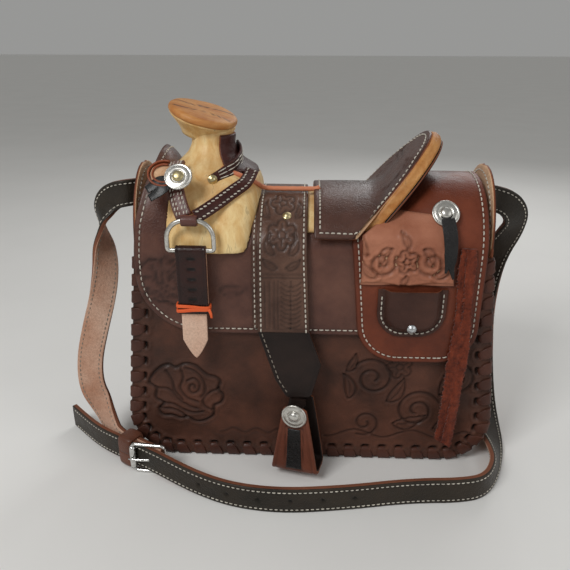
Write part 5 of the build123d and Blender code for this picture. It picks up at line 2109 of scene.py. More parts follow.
@dataclass
class Rigging:
    """Rigging straps, D-ring, latigo, concho, ribbon and rosette at the pommel."""

    pommel: Pommel
    ring_x: float = -83.0
    ring_y: float = -61.88
    bar_z: float = 179.5
    ring_width: float = 32.0
    ring_height: float = 21.0
    ring_bow: float = 12.5
    ring_heel: float = 1.8
    wire: float = 1.7
    latigo_width: float = 21.0
    latigo_bottom: float = 132.0
    billet_width: float = 18.0
    billet_tip: float = 97.0
    concho_at: tuple[float, float, float] = (-90.5, -51.0, 227.0)
    concho_tip: float = 38.0
    front_route: Route = (
        (-96.0, -27.0, 232.5), (-95.5, -36.5, 230.5), (-94.5, -45.5, 224.5),
        (-92.5, -52.0, 216.5), (-89.5, -57.5, 209.0), (-86.5, -60.9, 202.8),
    )
    rear_route: Route = (
        (-44.0, -19.0, 226.5), (-46.0, -27.0, 222.5), (-48.5, -33.5, 219.8),
        (-53.5, -39.0, 217.0), (-59.5, -45.2, 213.5), (-67.0, -51.5, 209.0),
        (-74.0, -57.5, 205.2), (-79.0, -61.2, 202.8),
    )

    def build(self) -> None:
        """Makes every piece of the rigging."""
        self.rig_strap("front_rigging", self.front_route, 11.5, RIGGING, (2.2, 4.3))
        self.rig_strap("rear_rigging", self.rear_route, 9.5, WRAP, (2.2,))
        self.loop()
        self.ring()
        self.latigo()
        self.billet()
        self.lace()
        self.concho_group()

    def rig_strap(self, name: str, route: Route, width: float, finish: Finish,
                  seams: tuple[float, ...]) -> None:
        """A stitched strap from the fork's top to the ring.

        Args:
            name: the piece's name.
            route: its middle line.
            width: its width.
            finish: that of its grain side.
            seams: places of its rows of stitches, in from each edge.
        """
        line = smooth_line(route, 1.4)
        along = tangents(line)
        out = line - (self.pommel.section(200.0)[0], 0.0, 196.0)
        out = square_to(out * (0.25, 1.0, 1.0), along)
        side = np.cross(out, along)
        across = edge_steps(width, 1.2)
        away = np.minimum(across, width - across)
        top = (1.25 + 0.5 * np.sin(np.pi * across / width) - rolled(away, 0.9)
               - 0.3 * ridge(away, 2.2, 0.6))
        place = line[:, None] + side[:, None] * (across - width / 2)[:, None]
        parts = Parts().shell(place + out[:, None] * top[:, None],
                              place + out[:, None] * (rolled(away, 0.4) - 1.25)[:, None],
                              0.3 * ridge(away, 2.2, 0.7))
        for sign in (-1.0, 1.0):
            for seam in seams:
                shift = sign * (width / 2 - seam)
                parts.stitches(line + side * shift + out * 1.3, out, 3, 3.5, 2.7, 0.55, 0.8)
        parts.build(name, (finish, FLESH, EDGE, THREAD), "flap", f"{name}_strap")

    def loop(self) -> None:
        """Leather loop that holds the ring's bow under the two straps."""
        t = np.linspace(0, 1, 40)[:, None]
        turn = np.radians(np.where(t < 0.92, 100 - 380 * t, -249.6))
        x = self.ring_x + np.array([-5.5, -5.2, -4.5, -2.5, 0.0, 2.5, 4.5, 5.2, 5.5])
        trim = np.array([0.5, 0.2, 0.0, 0.0, 0.0, 0.0, 0.0, 0.2, 0.5])
        grids = (np.dstack([x + 0 * t, circle(self.ring_y, self.bar_z + self.ring_height, r, turn)])
                 for r in (3.9 * (1 - trim / 4), 2.55 + 0 * trim))
        Parts().shell(*grids).build("ring_loop", (RIGGING, FLESH, EDGE), "flap", "rigging_loop")

    def ring(self) -> None:
        """Half-round D-ring, bow above and straight bar below."""
        w, h, bow, heel = self.ring_width / 2, self.ring_height, self.ring_bow, self.ring_heel
        corners = ((w - bow, h - bow, bow, 10), (bow - w, h - bow, bow, 10),
                   (heel - w, heel, heel, 6), (w - heel, heel, heel, 6))
        line = np.vstack([circle(x, z, radius, math.pi / 2 * np.linspace(k, k + 1, count))
                          for k, (x, z, radius, count) in enumerate(corners)])
        x, z = resample(np.vstack([line, line[:1]]), 1.2)[:-1].T
        path = np.stack([self.ring_x + x, 0 * x + self.ring_y, self.bar_z + z], -1)
        Parts().sweep(path, (0, 1, 0), round_section(self.wire * 0.82, 14, 1.2), close=True
                      ).build("rigging_ring", (NICKEL,), "d_ring", "d_ring")

    def latigo(self) -> None:
        """Glossy strap folded over the ring's bar, with five slots pressed in and painted dark as
        shade.
        """
        cy, cz = self.ring_y, self.bar_z
        turn = np.radians(np.linspace(-140, 140, 22))
        fold = np.stack([cy - 3.1 * np.sin(turn), cz + 3.1 * np.cos(turn)], -1)
        back = [(cy + 1.8, z) for z in np.arange(self.latigo_bottom, cz - 4.5, 1.2)]
        front = [(cy - 1.8, z) for z in np.arange(cz - 4.5, self.latigo_bottom - 0.1, -1.2)]
        line = resample([*back[:-1], (cy + 2.0, cz - 4.4), *fold, *front], 1.1)
        settle(line, 3)
        out = tangents(line)[:, ::-1] * (-1.0, 1.0)
        out *= -np.sign(out[-3, 0])
        across = edge_steps(self.latigo_width, 1.2)
        away = np.minimum(across, self.latigo_width - across)
        x, y, z = across - self.latigo_width / 2, line[:, :1], line[:, 1:]
        top = 0.75 - rolled(away, 0.7) - 0.25 * ridge(away, 2.0, 0.5) + 0 * z
        dark = 0.35 * ridge(away, 2.0, 0.6) + 0 * z
        is_front = (np.arange(len(line)) > len(line) * 0.55)[:, None]
        for slot_z in np.linspace(174.0, 144.0, 5):
            near = np.hypot(np.maximum(np.abs(x) - 1.9, 0), z - slot_z)
            press = np.clip(1.5 - near, 0, 1) * is_front
            top -= 0.9 * press
            # The slots' darkness is painted shade standing in for open slots.
            dark = np.maximum(dark, press * 1.2)
        top -= 0.5 * np.clip(1 - (z - self.latigo_bottom), 0, 1) * is_front
        place = np.stack(np.broadcast_arrays(self.ring_x + x, y, z), -1)
        push = np.insert(out, 0, 0.0, axis=1)[:, None]
        low = (rolled(away, 0.3) - 0.7)[:, None]
        Parts().shell(place + push * top[..., None], place + push * low, dark).build(
            "latigo_leather", (LATIGO, STRAP_FLESH, EDGE), "latigo", "latigo_strap")

    def billet(self) -> None:
        """Pale pointed billet that hangs out between the latigo's layers."""
        rise = edge_steps(144.0 - self.billet_tip, 1.3)
        half = np.maximum(self.billet_width / 2 * np.clip(rise / 15.0, 0, 1) ** 0.72, 0.5)
        x = spread(-half, half, self.billet_width, 1.2)
        away = np.minimum(half[:, None] - np.abs(x), rise[:, None] * 0.8)
        z = self.billet_tip + rise[:, None] + 0 * x
        y = self.ring_y - 0.5 * np.sin((z - 97.0) / 16.0) * np.clip((132 - z) / 20, 0, 1)
        grids = (np.stack([self.ring_x + x, depth, z], -1)
                 for depth in (y - 0.95 + rolled(away, 0.7), y + 0.95 - rolled(away, 0.5)))
        Parts().shell(*grids, 0.25 * ridge(away, 0, 0.8)).build(
            "billet", (BILLET, LATIGO, EDGE), "latigo", "latigo_billet")

    def lace(self) -> None:
        """Orange lace wound round the end of the latigo."""
        parts = Parts()
        for z, lean, phase in ((136.2, 0.9, 0.0), (138.6, -0.6, 1.0)):
            ring = []
            for a in np.linspace(0, 2 * np.pi, 61)[:-1]:
                c, s = squared(a, 5)
                ring.append((self.ring_x + 11.7 * c, self.ring_y + 3.6 * s,
                             z + lean * math.cos(a) + 0.25 * math.sin(3 * a + phase)))
            parts.sweep(ring, (0, 0, 1), strap_section(2.5, 1.3, 0.5), close=True)
        tail = smooth_line([(-72.0, -64.8, 137.0), (-70.6, -65.6, 134.0), (-70.2, -65.2, 130.5)])
        parts.sweep(tail, (1, 0, 0),
                    [strap_section(2.3 - 0.1 * k, 1.1, 0.4) for k in range(len(tail))])
        parts.build("latigo_lace", (ORANGE,), "latigo", "latigo_keeper")

    def concho_group(self) -> None:
        """Concho with its forked black ribbon over a rosette of loops."""
        tip = math.radians(self.concho_tip)
        away = (0.0, -math.cos(tip), math.sin(tip))
        place = axes(self.concho_at, away)
        rim = concho_profile(1.6)
        disc = Parts().lathe(rim[:CONCHO_HUB + 1], place, 56)
        disc.lathe(rim[CONCHO_HUB:], place, 32, 1)
        disc.lathe([(4.4, -3.6), (4.6, 0.0), (4.6, 1.8), (0.1, 1.8)], place, 24)
        disc.build("pommel_concho", (NICKEL, BRASS), "flap", "front_concho")

        def world(local: Points) -> Points:
            """Points of the concho's own axes carried to their place."""
            return local @ np.array(place.to_3x3()).T + self.concho_at

        ribbon = Parts()
        for end, bend in (((-21.0, -9.0), 1.5), ((-18.5, -15.0), -1.0)):
            path = world(smooth_line([(1.0, 0.5, 1.2), (-6.0, -3.5, 1.8),
                                      (end[0] * 0.6, end[1] * 0.6 + bend, 1.6), (*end, -0.4)]))
            widths = [strap_section(7.0 + 1.6 * math.sin(k / 6), 0.9, 0.35)
                      for k in range(len(path))]
            ribbon.sweep(path, np.cross(np.gradient(path, axis=0), away), widths)
        ribbon.build("pommel_ribbon", (BLACK,), "flap", "front_ribbon")
        rows, cols = np.linspace(0, 1, 16)[:, None], np.linspace(-1, 1, 14)
        half = 6.4 * np.sqrt(np.maximum(1 - (2 * rows - 1) ** 4, 0.02))
        patch = np.stack(np.broadcast_arrays(
            -4.0 - 15.0 * rows, 2.6 + half * cols,
            1.0 + 0.6 * np.cos(3 * cols) * np.sin(math.pi * rows)), -1)
        rosette = Parts().shell(world(patch), world(patch - (0.0, 0.0, 1.4)), slots=(1, 1, 1))
        turn = np.linspace(-1.9, 1.9, 40)
        for grow, high, width in ((1.0, 0.9, 3.4), (0.72, 1.7, 1.6)):
            loop = np.stack([-10.0 - 10.5 * grow * np.cos(turn), 2.4 + 9.2 * grow * np.sin(turn),
                             high + 0 * turn], -1)
            rosette.sweep(world(loop), away, strap_section(width, 1.3, 0.5))
        rosette.build("rosette_loops", (ROSETTE, PATCH), "flap", "front_rosette")


# ---- seat and cantle ----------------------------------------------------------------
@dataclass
class SeatCantle:
    """Seat leather that rises onto a rounded wooden cantle."""

    front: float = 0.8
    foot_x: float = 33.0
    foot_z: float = 189.0
    slope: float = math.radians(50.0)
    half: float = 47.0
    height: float = 84.0
    thick: float = 8.0
    leather: float = 2.4
    pad: float = 2.6
    bar_in: float = 4.7
    bar_out: float = 7.2
    board_out: float = 7.0
    seat_out: float = 14.3
    seat_thick: float = 2.6
    seam_in: float = 4.2
    bend: float = 9.0

    def board(self, across: Points, up: Points, out: Points) -> Points:
        """Points of the cantle's own axes: across the saddle, up its slope, off its front.

        Args:
            across: distance from the saddle's middle.
            up: distance up the slope.
            out: distance off the board's plane.

        Returns:
            The points in mm.
        """
        c, s = math.cos(self.slope), math.sin(self.slope)
        return np.stack(np.broadcast_arrays(self.foot_x + up * c - out * s, across,
                                            self.foot_z + up * s + out * c), -1)

    def build(self) -> None:
        """Makes the wooden board, the leather glued to its back, the seat and the bars."""
        self.layer("cantle_wood", "cantle_board", (CANTLE_WOOD,) * 3, 0.2, -0.1, -self.thick, 2.2)
        self.layer("cantle_back_leather", "cantle_facing", (DARK_AND_SHADE, DARK_AND_SHADE, EDGE), 1.2,
                   -self.thick - 0.05, -self.thick - self.leather, 0.8)
        self.seat()
        self.bars()

    def layer(self, name: str, node: str, finishes: Sequence[Finish], less: float,
              front: float, back: float, round_to: float) -> None:
        """Half-elliptical board between two depths, its rim rounded.

        Args:
            name: the piece's name.
            node: the node it stands for.
            finishes: those of its faces and its rim.
            less: how far its rim stays inside the cantle's.
            front: depth of its front face off the board's plane.
            back: depth of its back face.
            round_to: radius of its rim's corners.
        """
        turn = np.linspace(0.0, math.pi, 120)
        shares = np.concatenate([np.linspace(0.02, 0.9, 14), [0.94, 0.965, 0.985, 1.0]])
        high = self.height - 1.5 * less
        rim = np.stack([(self.half - less) * np.cos(turn), high * np.sin(turn)], -1)
        grid = rim * shares[:, None, None]
        edge = np.linalg.norm(rim - grid, axis=2)
        drop = rolled(edge, round_to)
        across, up = np.moveaxis(grid, -1, 0)
        wave = 0.25 * np.sin(across / 6) * np.sin(up / 8)
        faces = (FORM.lifted(self.board(across, up, out), self.board_out)
                 for out in (front - drop + wave, back + drop))
        Parts().shell(*faces, 0.25 * ridge(edge, 0, 1.2)).build(name, finishes, "flap", node)

    def bars(self) -> None:
        """Thin wooden bars under the seat, joined over the ridge."""
        start = FORM.reach(0.0, 186.0)
        rows = start + edge_steps(FORM.girth - 2 * start, 2.2)
        Sheet(rows, -32.0, 30.0, self.bar_in, self.bar_out, 2.2).add_to(Parts()).build(
            "saddle_bars", (FORK_WOOD,) * 3, "flap", "tree_bars")

    def row(self, place: float, share: float, steps: Points) -> tuple[Points, Points]:
        """One row of the seat, from its front edge to the cantle's rim.

        Args:
            place: the row's place over the form.
            share: its share of the way over the saddle.
            steps: where its points lie, from 0 to 1.

        Returns:
            Points between the seat's faces and directions out of them.
        """
        c, s = math.cos(self.slope), math.sin(self.slope)
        side, rise = math.cos(math.pi * share), math.sin(math.pi * share)
        dish = self.seat_out - 1.6 * rise**2
        front, away = FORM.point(self.front, place, dish)
        tip = self.board((2.2 - self.half) * side, (self.height - 2.4) * rise, self.pad)
        foot_z = FORM.point(45.0, place, dish)[0][2]
        foot_x = self.foot_x + (foot_z - self.foot_z) * c / s - self.pad / s
        foot = FORM.point(foot_x, place, dish)[0]
        bend = min(self.bend, *(0.45 * np.linalg.norm(end - foot) for end in (front, tip)))
        near, far = (foot + unit(end - foot) * bend for end in (front, tip))
        t = np.linspace(0, 1, 12)
        u = t[:, None]
        line = np.vstack([front, (1 - u) ** 2 * near + 2 * u * (1 - u) * foot + u**2 * far, tip])
        marks = travel(line)
        at = steps * marks[-1]
        turn = np.interp(at, marks, [0.0, *t, 1.0])[:, None]
        return read(at, marks, line), unit(away * (1 - turn) + np.array([-s, 0.0, c]) * turn)

    def seat(self) -> None:
        """Seat leather, from its stitched front edge up onto the cantle's face."""
        start = FORM.reach(0.0, 182.5)
        width, length = FORM.girth - 2 * start, 30.0 + self.height
        steps = edge_steps(length, 1.7)
        rows = [self.row(start + s, s / width, steps / steps[-1])
                for s in edge_steps(width, 1.8)]
        grid, out = map(np.array, zip(*rows))
        from_front = np.array([travel(row) for row in grid])
        from_side = np.stack([travel(row) for row in grid.swapaxes(0, 1)], 1)
        to_rim, to_side = from_front[:, -1:] - from_front, from_side[-1] - from_side
        away = np.minimum.reduce([from_front, to_rim, from_side, to_side])
        middle = from_side - from_side[-1] / 2
        carved, cut = self.tooling(from_front.max()).at(from_front, middle)
        height = (carved - rolled(away, 1.3) - 0.35 * ridge(away, self.seam_in, 0.8)
                  + 0.3 * np.sin(from_front / 15) * np.sin(middle / 12))
        dark = np.maximum(0.35 * ridge(away, self.seam_in, 0.9) + 0.3 * ridge(away, 0, 1.2), cut)
        grain = grid + out * height[..., None]
        flesh = grid - out * (self.seat_thick - 0.6 * rolled(away, 0.6))[..., None]
        parts = Parts().shell(grain, flesh, np.clip(dark, 0, 1))
        both = np.concatenate([grain, out], axis=2)
        for marks, lines, trim in ((from_front, both, 6), (to_rim[:, ::-1], both[:, ::-1], 6),
                                   (from_side.T, both.swapaxes(0, 1), 8),
                                   (to_side[::-1].T, both[::-1].swapaxes(0, 1), 8)):
            seam = np.array([read(self.seam_in, *pair) for pair in zip(marks, lines)])[trim:-trim]
            parts.stitches(seam[:, :3] + seam[:, 3:] * 0.1, seam[:, 3:])
        parts.build("seat_leather", (SEAT, FLESH, EDGE, THREAD), "flap", "seat")

    def tooling(self, end: float) -> Tooling:
        """Curved lines and leaves under the rim.

        Args:
            end: distance of the rim from the front edge, in mm.

        Returns:
            The tooling.
        """
        t = Tooling()
        for k in (-1.0, 1.0):
            t.cut([(end - 10.0, k * 38.0), (end - 22.0, k * 26.0), (end - 26.0, k * 8.0)],
                  0.8, 0.4)
            t.cut([(end - 13.0, k * 40.0), (end - 27.0, k * 28.0), (end - 31.0, k * 8.0)],
                  0.8, 0.35)
            t.leaf(end - 34.0, k * 24.0, 16.0, 3.14 - k * 0.5, k * 0.5, 0.4)
        return t


# ---- rear pocket --------------------------------------------------------------------
STRINGS = (
    ((104.6, 181.5), (105.2, 160.0), (105.8, 130.0), (104.6, 100.0), (103.6, 70.0),
     (102.6, 45.0), (101.2, 24.5)),
    ((108.4, 181.5), (109.4, 160.0), (110.2, 130.0), (110.8, 100.0), (109.8, 70.0),
     (108.2, 45.0), (106.2, 22.5)),
)


@dataclass
class RearPocket:
    """Carved cover over a small pouch, its concho and ribbon, and the saddle strings."""

    left: float = 34.0
    right: float = 97.5
    cover_top: float = 203.0
    cover_bottom: float = 154.0
    cover_fold: float = 189.0
    cover_y: float = -56.5
    cover_out: float = 8.7
    cover_in: float = 6.75
    carving_at: tuple[float, float] = (65.5, 170.7)
    carving_grow: float = 1.22
    pouch_x: float = 71.5
    pouch_half: float = 24.5
    pouch_top: float = 151.0
    pouch_bottom: float = 114.0
    pouch_corner: float = 19.0
    pouch_y: float = -54.25
    pouch_depth: float = 7.9
    pouch_rim: float = 2.2
    wall: float = 1.8
    seam_in: float = 2.9

    def build(self) -> None:
        """Makes the cover, the pouch, the metal, the ribbon and the strings."""
        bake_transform(self.cover())
        self.pouch()
        self.metal()
        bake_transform(self.ribbon())
        self.strings()

    def cover(self) -> bpy.types.Object:
        """Carved leather that bends down from the skirt over the pouch.

        Returns:
            The cover.
        """
        z = self.cover_bottom + edge_steps(self.cover_top - self.cover_bottom, 0.85)
        top = np.clip((z - self.cover_fold) / (self.cover_top - self.cover_fold), 0, 1)
        left = self.left + 28.0 * top**1.3 + 0.8 * np.sin((190 - z) / 12)
        right = self.right - 17.0 * top**1.6 + 1.6 * np.clip((190 - z) / 36, 0, 1)
        x = spread(left, right, 64.0, 0.85)
        away = rim_away(x, z)
        s = np.array([[FORM.reach(a, max(b, FORM.spring + 0.5), out=self.cover_out) for a in row]
                      for row, b in zip(x, z)])
        z = np.repeat(z[:, None], x.shape[1], 1)
        share = np.clip((199.0 - z) / 14.0, 0, 1)[..., None]
        share = share * share * (3 - 2 * share)
        carved, cut = self.tooling().at(*(middle + (at - middle) / self.carving_grow
                                          for at, middle in zip((x, z), self.carving_at)))
        outer = (1.3 * carved - rolled(away, 0.9)
                 + 0.45 * np.sin(x / 7 + z / 9) * np.sin(z / 8 - x / 13))
        faces = (FORM.point(x, s, lift)[0] * (1 - share)
                 + np.stack([x, self.cover_y + self.cover_out - lift, z], -1) * share
                 for lift in (self.cover_out + outer, self.cover_in + 0 * outer))
        dark = np.maximum(0.6 * cut, 0.4 * ridge(away, 0, 1.0))
        return Parts().shell(*faces, dark).build("pocket_cover", (CARVED, FLESH, EDGE), "",
                                                 "pocket_yoke", "pocket_flap")

    def tooling(self) -> Tooling:
        """Scrolls, leaves and a small flower, over a wavy line near the bottom.

        Returns:
            The tooling.
        """
        t = Tooling()
        middle = (self.cover_bottom + 187.5) / 2
        for k in (-1.0, 1.0):
            c = 65.5 + k * 14.0
            t.scroll(c, middle - 0.5, 8.6, math.pi / 2 + k * 1.1, k * 1.35, 1.0)
            t.leaf(c + k * 2.0, middle - 8.0, 12.0, math.pi / 2 - k * 1.55, k * 0.7, 0.85)
            t.leaf(c - k * 5.0, middle + 8.0, 12.0, math.pi / 2 - k * 2.0, -k * 0.6, 0.85)
            t.leaf(c + k * 8.0, middle + 4.0, 11.0, math.pi / 2 - k * 0.9, k * 0.6, 0.85)
        t.flower(65.5, middle + 0.5, 7.0, 5, 0.95)
        t.leaf(65.5, middle + 8.5, 9.5, math.pi / 2, 0.4, 0.85)
        t.leaf(65.5, middle - 8.0, 8.0, -math.pi / 2, -0.4, 0.85)
        wave = np.linspace(0, 1, 30)
        t.cut(np.stack([38 + 54 * wave, self.cover_bottom + 3.4 + 0.9 * np.sin(9 * wave)], -1),
              0.7, 0.5)
        return t

    def pouch(self) -> None:
        """D-shaped moulded pouch, stitched round its rim and open at the top."""
        corner, bottom, top = self.pouch_corner, self.pouch_bottom, self.pouch_top
        quarter = np.linspace(0, math.pi / 2, 22)
        z = np.concatenate([bottom + corner * (1 - np.cos(quarter)),
                            np.arange(bottom + corner + 1.2, top - 1.9, 1.2),
                            top - np.array([1.9, 1.1, 0.55, 0.2, 0.0])])
        z = np.unique(np.round(np.maximum(z, bottom + 0.02), 4))
        low = np.clip(corner - (z - bottom), 0, corner)
        half = self.pouch_half - corner + np.sqrt(corner**2 - low**2)
        x = self.pouch_x + spread(-half, half, 2 * self.pouch_half, 1.1)
        rim = np.vstack([np.stack([self.pouch_x - half, z], -1)[::-1],
                         np.stack([self.pouch_x + half, z], -1)])
        z = np.repeat(z[:, None], x.shape[1], 1)
        away = np.minimum(line_distance(x, z, rim), 12.0)
        puff = 1 - (1 - np.clip((away - 4.4) / 6.0, 0, 1)) ** 2
        depth = self.pouch_rim + (self.pouch_depth - self.pouch_rim) * puff
        depth = depth + 0.25 * np.sin(x / 5) * np.sin(z / 7)
        skin = depth - rolled(away, 0.9) - rolled(top - z, 0.8) - 0.3 * ridge(away, 3.0, 0.7)
        faces = (np.stack([x, self.pouch_y - out, z], -1)
                 for out in (skin, np.maximum(depth - self.wall, 0.05)))
        parts = Parts().shell(*faces, 0.35 * ridge(away, 4.6, 1.0))
        turn = -np.linspace(0, math.pi / 2, 20)
        seam = np.vstack([(self.pouch_half - self.seam_in, top - 3.0),
                          circle(self.pouch_half - corner, bottom + corner,
                                 corner - self.seam_in, turn)])
        seam = resample(np.vstack([seam, seam[::-1] * (-1, 1)]), 1.5) + (self.pouch_x, 0)
        parts.stitches(np.insert(seam, 1, self.pouch_y - 2.1, axis=1), (0, -1, 0), 3, 3.9, 2.9)
        parts.build("pocket_pouch_moulded", (POCKET, FLESH, EDGE, THREAD), "flap",
                    "pocket_pouch")

    def metal(self) -> None:
        """Brass rivet low on the pouch, and the concho behind the seat."""
        spot = (self.pouch_x, self.pouch_y - self.pouch_depth + 0.3, self.pouch_bottom + 9.0)
        Parts().lathe(rivet_profile(3.3), axes(spot, (0, -1, 0))).build(
            "pouch_rivet", (CAP,), "flap", "pocket_rivet")
        place = axes(*FORM.point(90.5, FORM.reach(90.5, 203.0, out=9.2), 9.2))
        Parts().lathe(concho_profile(1.2), place, 56).build(
            "cantle_concho", (NICKEL,), "flap", "rear_concho")

    def ribbon(self) -> bpy.types.Object:
        """Glossy black ribbon from the concho down over the cover.

        Returns:
            The ribbon.
        """
        top = np.array([(91.0, -47.6, 203.5), (92.0, -52.5, 198.5), (92.8, -56.6, 192.5),
                        (93.6, -58.2, 186.0), (94.2, -58.4, 178.0)])
        parts = Parts()
        for shift, *tail in ((-1.5, (92.6, -58.4, 170.0), (91.8, -58.8, 164.5)),
                             (1.5, (95.6, -58.0, 169.0), (97.6, -58.2, 160.0))):
            line = smooth_line([*(top + (shift, 0, 0)), *tail])
            drop = np.linspace(0, 1, len(line))
            width = 6.2 + 0.5 * np.sin(drop * 6) - 4.6 * np.clip((drop - 0.7) / 0.3, 0, 1) ** 1.3
            parts.sweep(line, (1.0, 0.0, 0.04), [strap_section(w, 1.0, 0.4) for w in width])
        return parts.build("cantle_ribbon", (BLACK,), "", "rear_ribbon")

    def strings(self) -> None:
        """Two hanging strips of rough suede with ragged edges."""
        noise = random.Random(5)
        parts = Parts()
        across = np.array([-1.0, -0.92, -0.75, -0.4, 0.0, 0.4, 0.75, 0.92, 1.0])
        thick = 1.1 - 0.6 * across**6
        for index, route in enumerate(STRINGS):
            x, z = smooth_line(route, 0.75).T[..., None]
            drop = np.linspace(0, 1, len(x))[:, None]
            base = (0.5 * np.sin(drop * 9 + index * 2) - 56.2 - 1.1 * index
                    + 0.6 * np.clip(1 - drop * 22, 0, 1))
            ragged = [np.array([noise.gauss(0, 0.45) for _ in drop])[:, None] for _ in range(2)]
            half = 3.6 + 0.35 * np.sin(drop * 14 + index)
            half = half * (0.85 + 0.15 * np.clip(drop * 12, 0, 1))
            tuft = np.abs([[noise.gauss(0, 0.16) for _ in across] for _ in drop])
            x = x + (half + np.where(across < 0, *ragged) * across**4) * across
            z = z - np.clip((drop - 0.97) * 33, 0, 1) * across * 3.0
            y = base + 0.5 * np.sin(drop * 7 + 1.5 * index) * across
            parts.shell(np.stack([x, y - thick - tuft, z], -1),
                        np.stack([x, y + thick * 0.8, z], -1))
        parts.build("suede_strings", (SUEDE,) * 3, "strings", "saddle_strings")


# ---- fenders and stirrups -----------------------------------------------------------
class Side(Enum):
    """The two sides that carry a fender and a stirrup."""

    FRONT = -1.0
    BACK = 1.0


@dataclass
class Fender:
    """Tooled fender leather, the panel under it and the stirrup that hangs from it."""

    side: Side
    left: float = -38.6
    right: float = -3.4
    under_left: float = -42.4
    inner: float = 7.35
    outer: float = 9.8
    hang_out: float = 10.4
    step_z: float = 116.0
    fold_z: float = 182.0
    back_top_z: float = 163.0
    panel_end: float = 66.7
    panel_y: float = -55.9
    panel_lean: float = 0.1727
    stirrup_at: tuple[float, float] = (-8.0, -66.4)
    stirrup_turn: float = math.radians(-14.0)
    stirrup_top: float = 65.0
    foot: float = 7.0
    foot_bend: float = 6.0
    neck_width: float = 17.0
    foot_width: float = 36.5
    depth: float = 24.0
    wall: float = 3.0
    bolt_z: float = 59.0
    patch_z: float = 12.5
    patch_height: float = 35.0

    def make(self, parts: Parts, name: str, finishes: Sequence[Finish], body: str,
             *nodes: str) -> bpy.types.Object:
        """Builds a piece on this fender's side.

        Args:
            parts: its points and faces, as for the front.
            name: its name on the front.
            finishes: its materials.
            body: the body it rides on the front, or "" for none.
            nodes: names on the front of the nodes it stands for.

        Returns:
            The piece.
        """
        prefix = ""
        if self.side is Side.BACK:
            prefix = "back_"
            parts.points = [p * MIRROR for p in parts.points]
        return parts.build(prefix + name, finishes, body and prefix + body,
                           *(prefix + node for node in nodes))

    def build(self) -> None:
        """Makes the fender, its panel, the stirrup and their metal."""
        if self.side is Side.FRONT:
            hem = self.step_z - FORM.spring
            piece = self.leather(FORM.reach(0.0, 183.5, back=True) - hem, 52.0 - hem, "",
                                 "fender_top", "fender_strap")
            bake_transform(piece)
            self.rivet()
            dress(DARK_AND_SHADE, "stirrup_hanger")
            dress(STEEL, "stirrup_bolt")
            nodes = ("stirrup", "stirrup_inlay")
        else:
            length = self.back_top_z - self.step_z
            self.leather(length, length - 3.0, "fender", "fender_strap")
            dress(DARK_AND_SHADE, "back_stirrup_hanger")
            dress(STEEL, "back_stirrup_bolt")
            nodes = ("stirrup",)
        self.panel()
        self.stirrup(*nodes)
        self.concho()

    def tooling(self) -> Tooling:
        """Flowers above a groove, upright lines and a lattice below it.

        Returns:
            The tooling.
        """
        t = Tooling()
        t.flower(-21.0, 40.0, 9.0, 5, 0.7)
        t.flower(-21.0, 17.0, 10.5, 6, 0.7)
        for k in (-1.0, 1.0):
            t.leaf(-21.0 + k * 9.0, 28.5, 13.0, math.pi / 2 - k * 0.9, k * 0.7, 0.6)
            t.leaf(-21.0 + k * 5.0, 4.0, 14.0, math.pi / 2 - k * 1.1, k * 0.8, 0.6)
            t.leaf(-21.0 + k * 3.0, -6.0, 12.0, math.pi / 2 - k * 1.5, k * 0.5, 0.6)
        for v in (-10.5, -13.0):
            t.cut([(-35.0, v), (-6.0, v)], 0.7, 0.5)
        for x in (-33.0, -29.6, -26.2):
            t.cut([(x, -16.0), (x, -53.0)], 0.6, 0.4)
        t.cut([(-14.5, -15.0), (-14.5, -53.0)], 0.6, 0.4)
        for k in range(10):
            z = -16.5 - 3.6 * k
            for reach in (-7.0, 7.0):
                t.cut([(-14.5, z - 3.4), (-14.5 + reach * 0.6, z - 2.4), (-14.5 + reach, z)],
                      0.6, 0.45)
        t.cut([(-23.6, -15.0), (-23.6, -53.0)], 0.6, 0.4)
        return t

    def push(self, v: Points) -> Points:
        """Extra distance out where the leather hangs free, at places over the form."""
        share = np.clip((self.fold_z - FORM.spring - v + 6.0) / 16.0, 0, 1)
        return (self.hang_out - self.outer) * share

    def leather(self, length: float, under_length: float, body: str,
                *nodes: str) -> bpy.types.Object:
        """The tooled leather, with the stitched strap that shows beside it.

        Args:
            length: length of the leather, over the form.
            under_length: length of the strap.
            body: the body it rides on the front, or "" for none.
            nodes: names on the front of the nodes it stands for.

        Returns:
            The piece.
        """
        hem = self.step_z - FORM.spring
        sheet = Sheet(hem + edge_steps(length, 1.1), self.left,
                      lambda v: self.right + 2.8 * np.clip((4.0 - v) / 60.0, 0, 1),
                      self.inner, self.outer, 0.95, self.tooling(), 2.6, 0.35, 0.2, self.push)
        parts = sheet.add_to(Parts())
        for edge in ("left", "right"):
            line, out = sheet.inset(edge, 2.6)
            free = self.push(line[:, 2] - FORM.spring) * (line[:, 2] < self.fold_z + 10)
            parts.stitches(line + out * free[:, None], out)
        under = Sheet(hem + 1.5 + edge_steps(under_length, 2.0), self.under_left,
                      self.left + 9.0, 4.75, 7.0)
        under.sew(under.add_to(parts), ("left",), 1.9, 3, 4.0, 3.0, 0.52)
        return self.make(parts, "fender_leather", (FENDER, FLESH, EDGE, THREAD), body, *nodes)

    def rivet(self) -> None:
        """Brass rivet high on the fender."""
        place = axes(*FORM.point(-18.0, FORM.reach(-18.0, 199.0, out=self.outer), self.outer))
        Parts().lathe(rivet_profile(3.2), place).build("fender_stud", (BRASS,), "flap",
                                                       "fender_rivet")

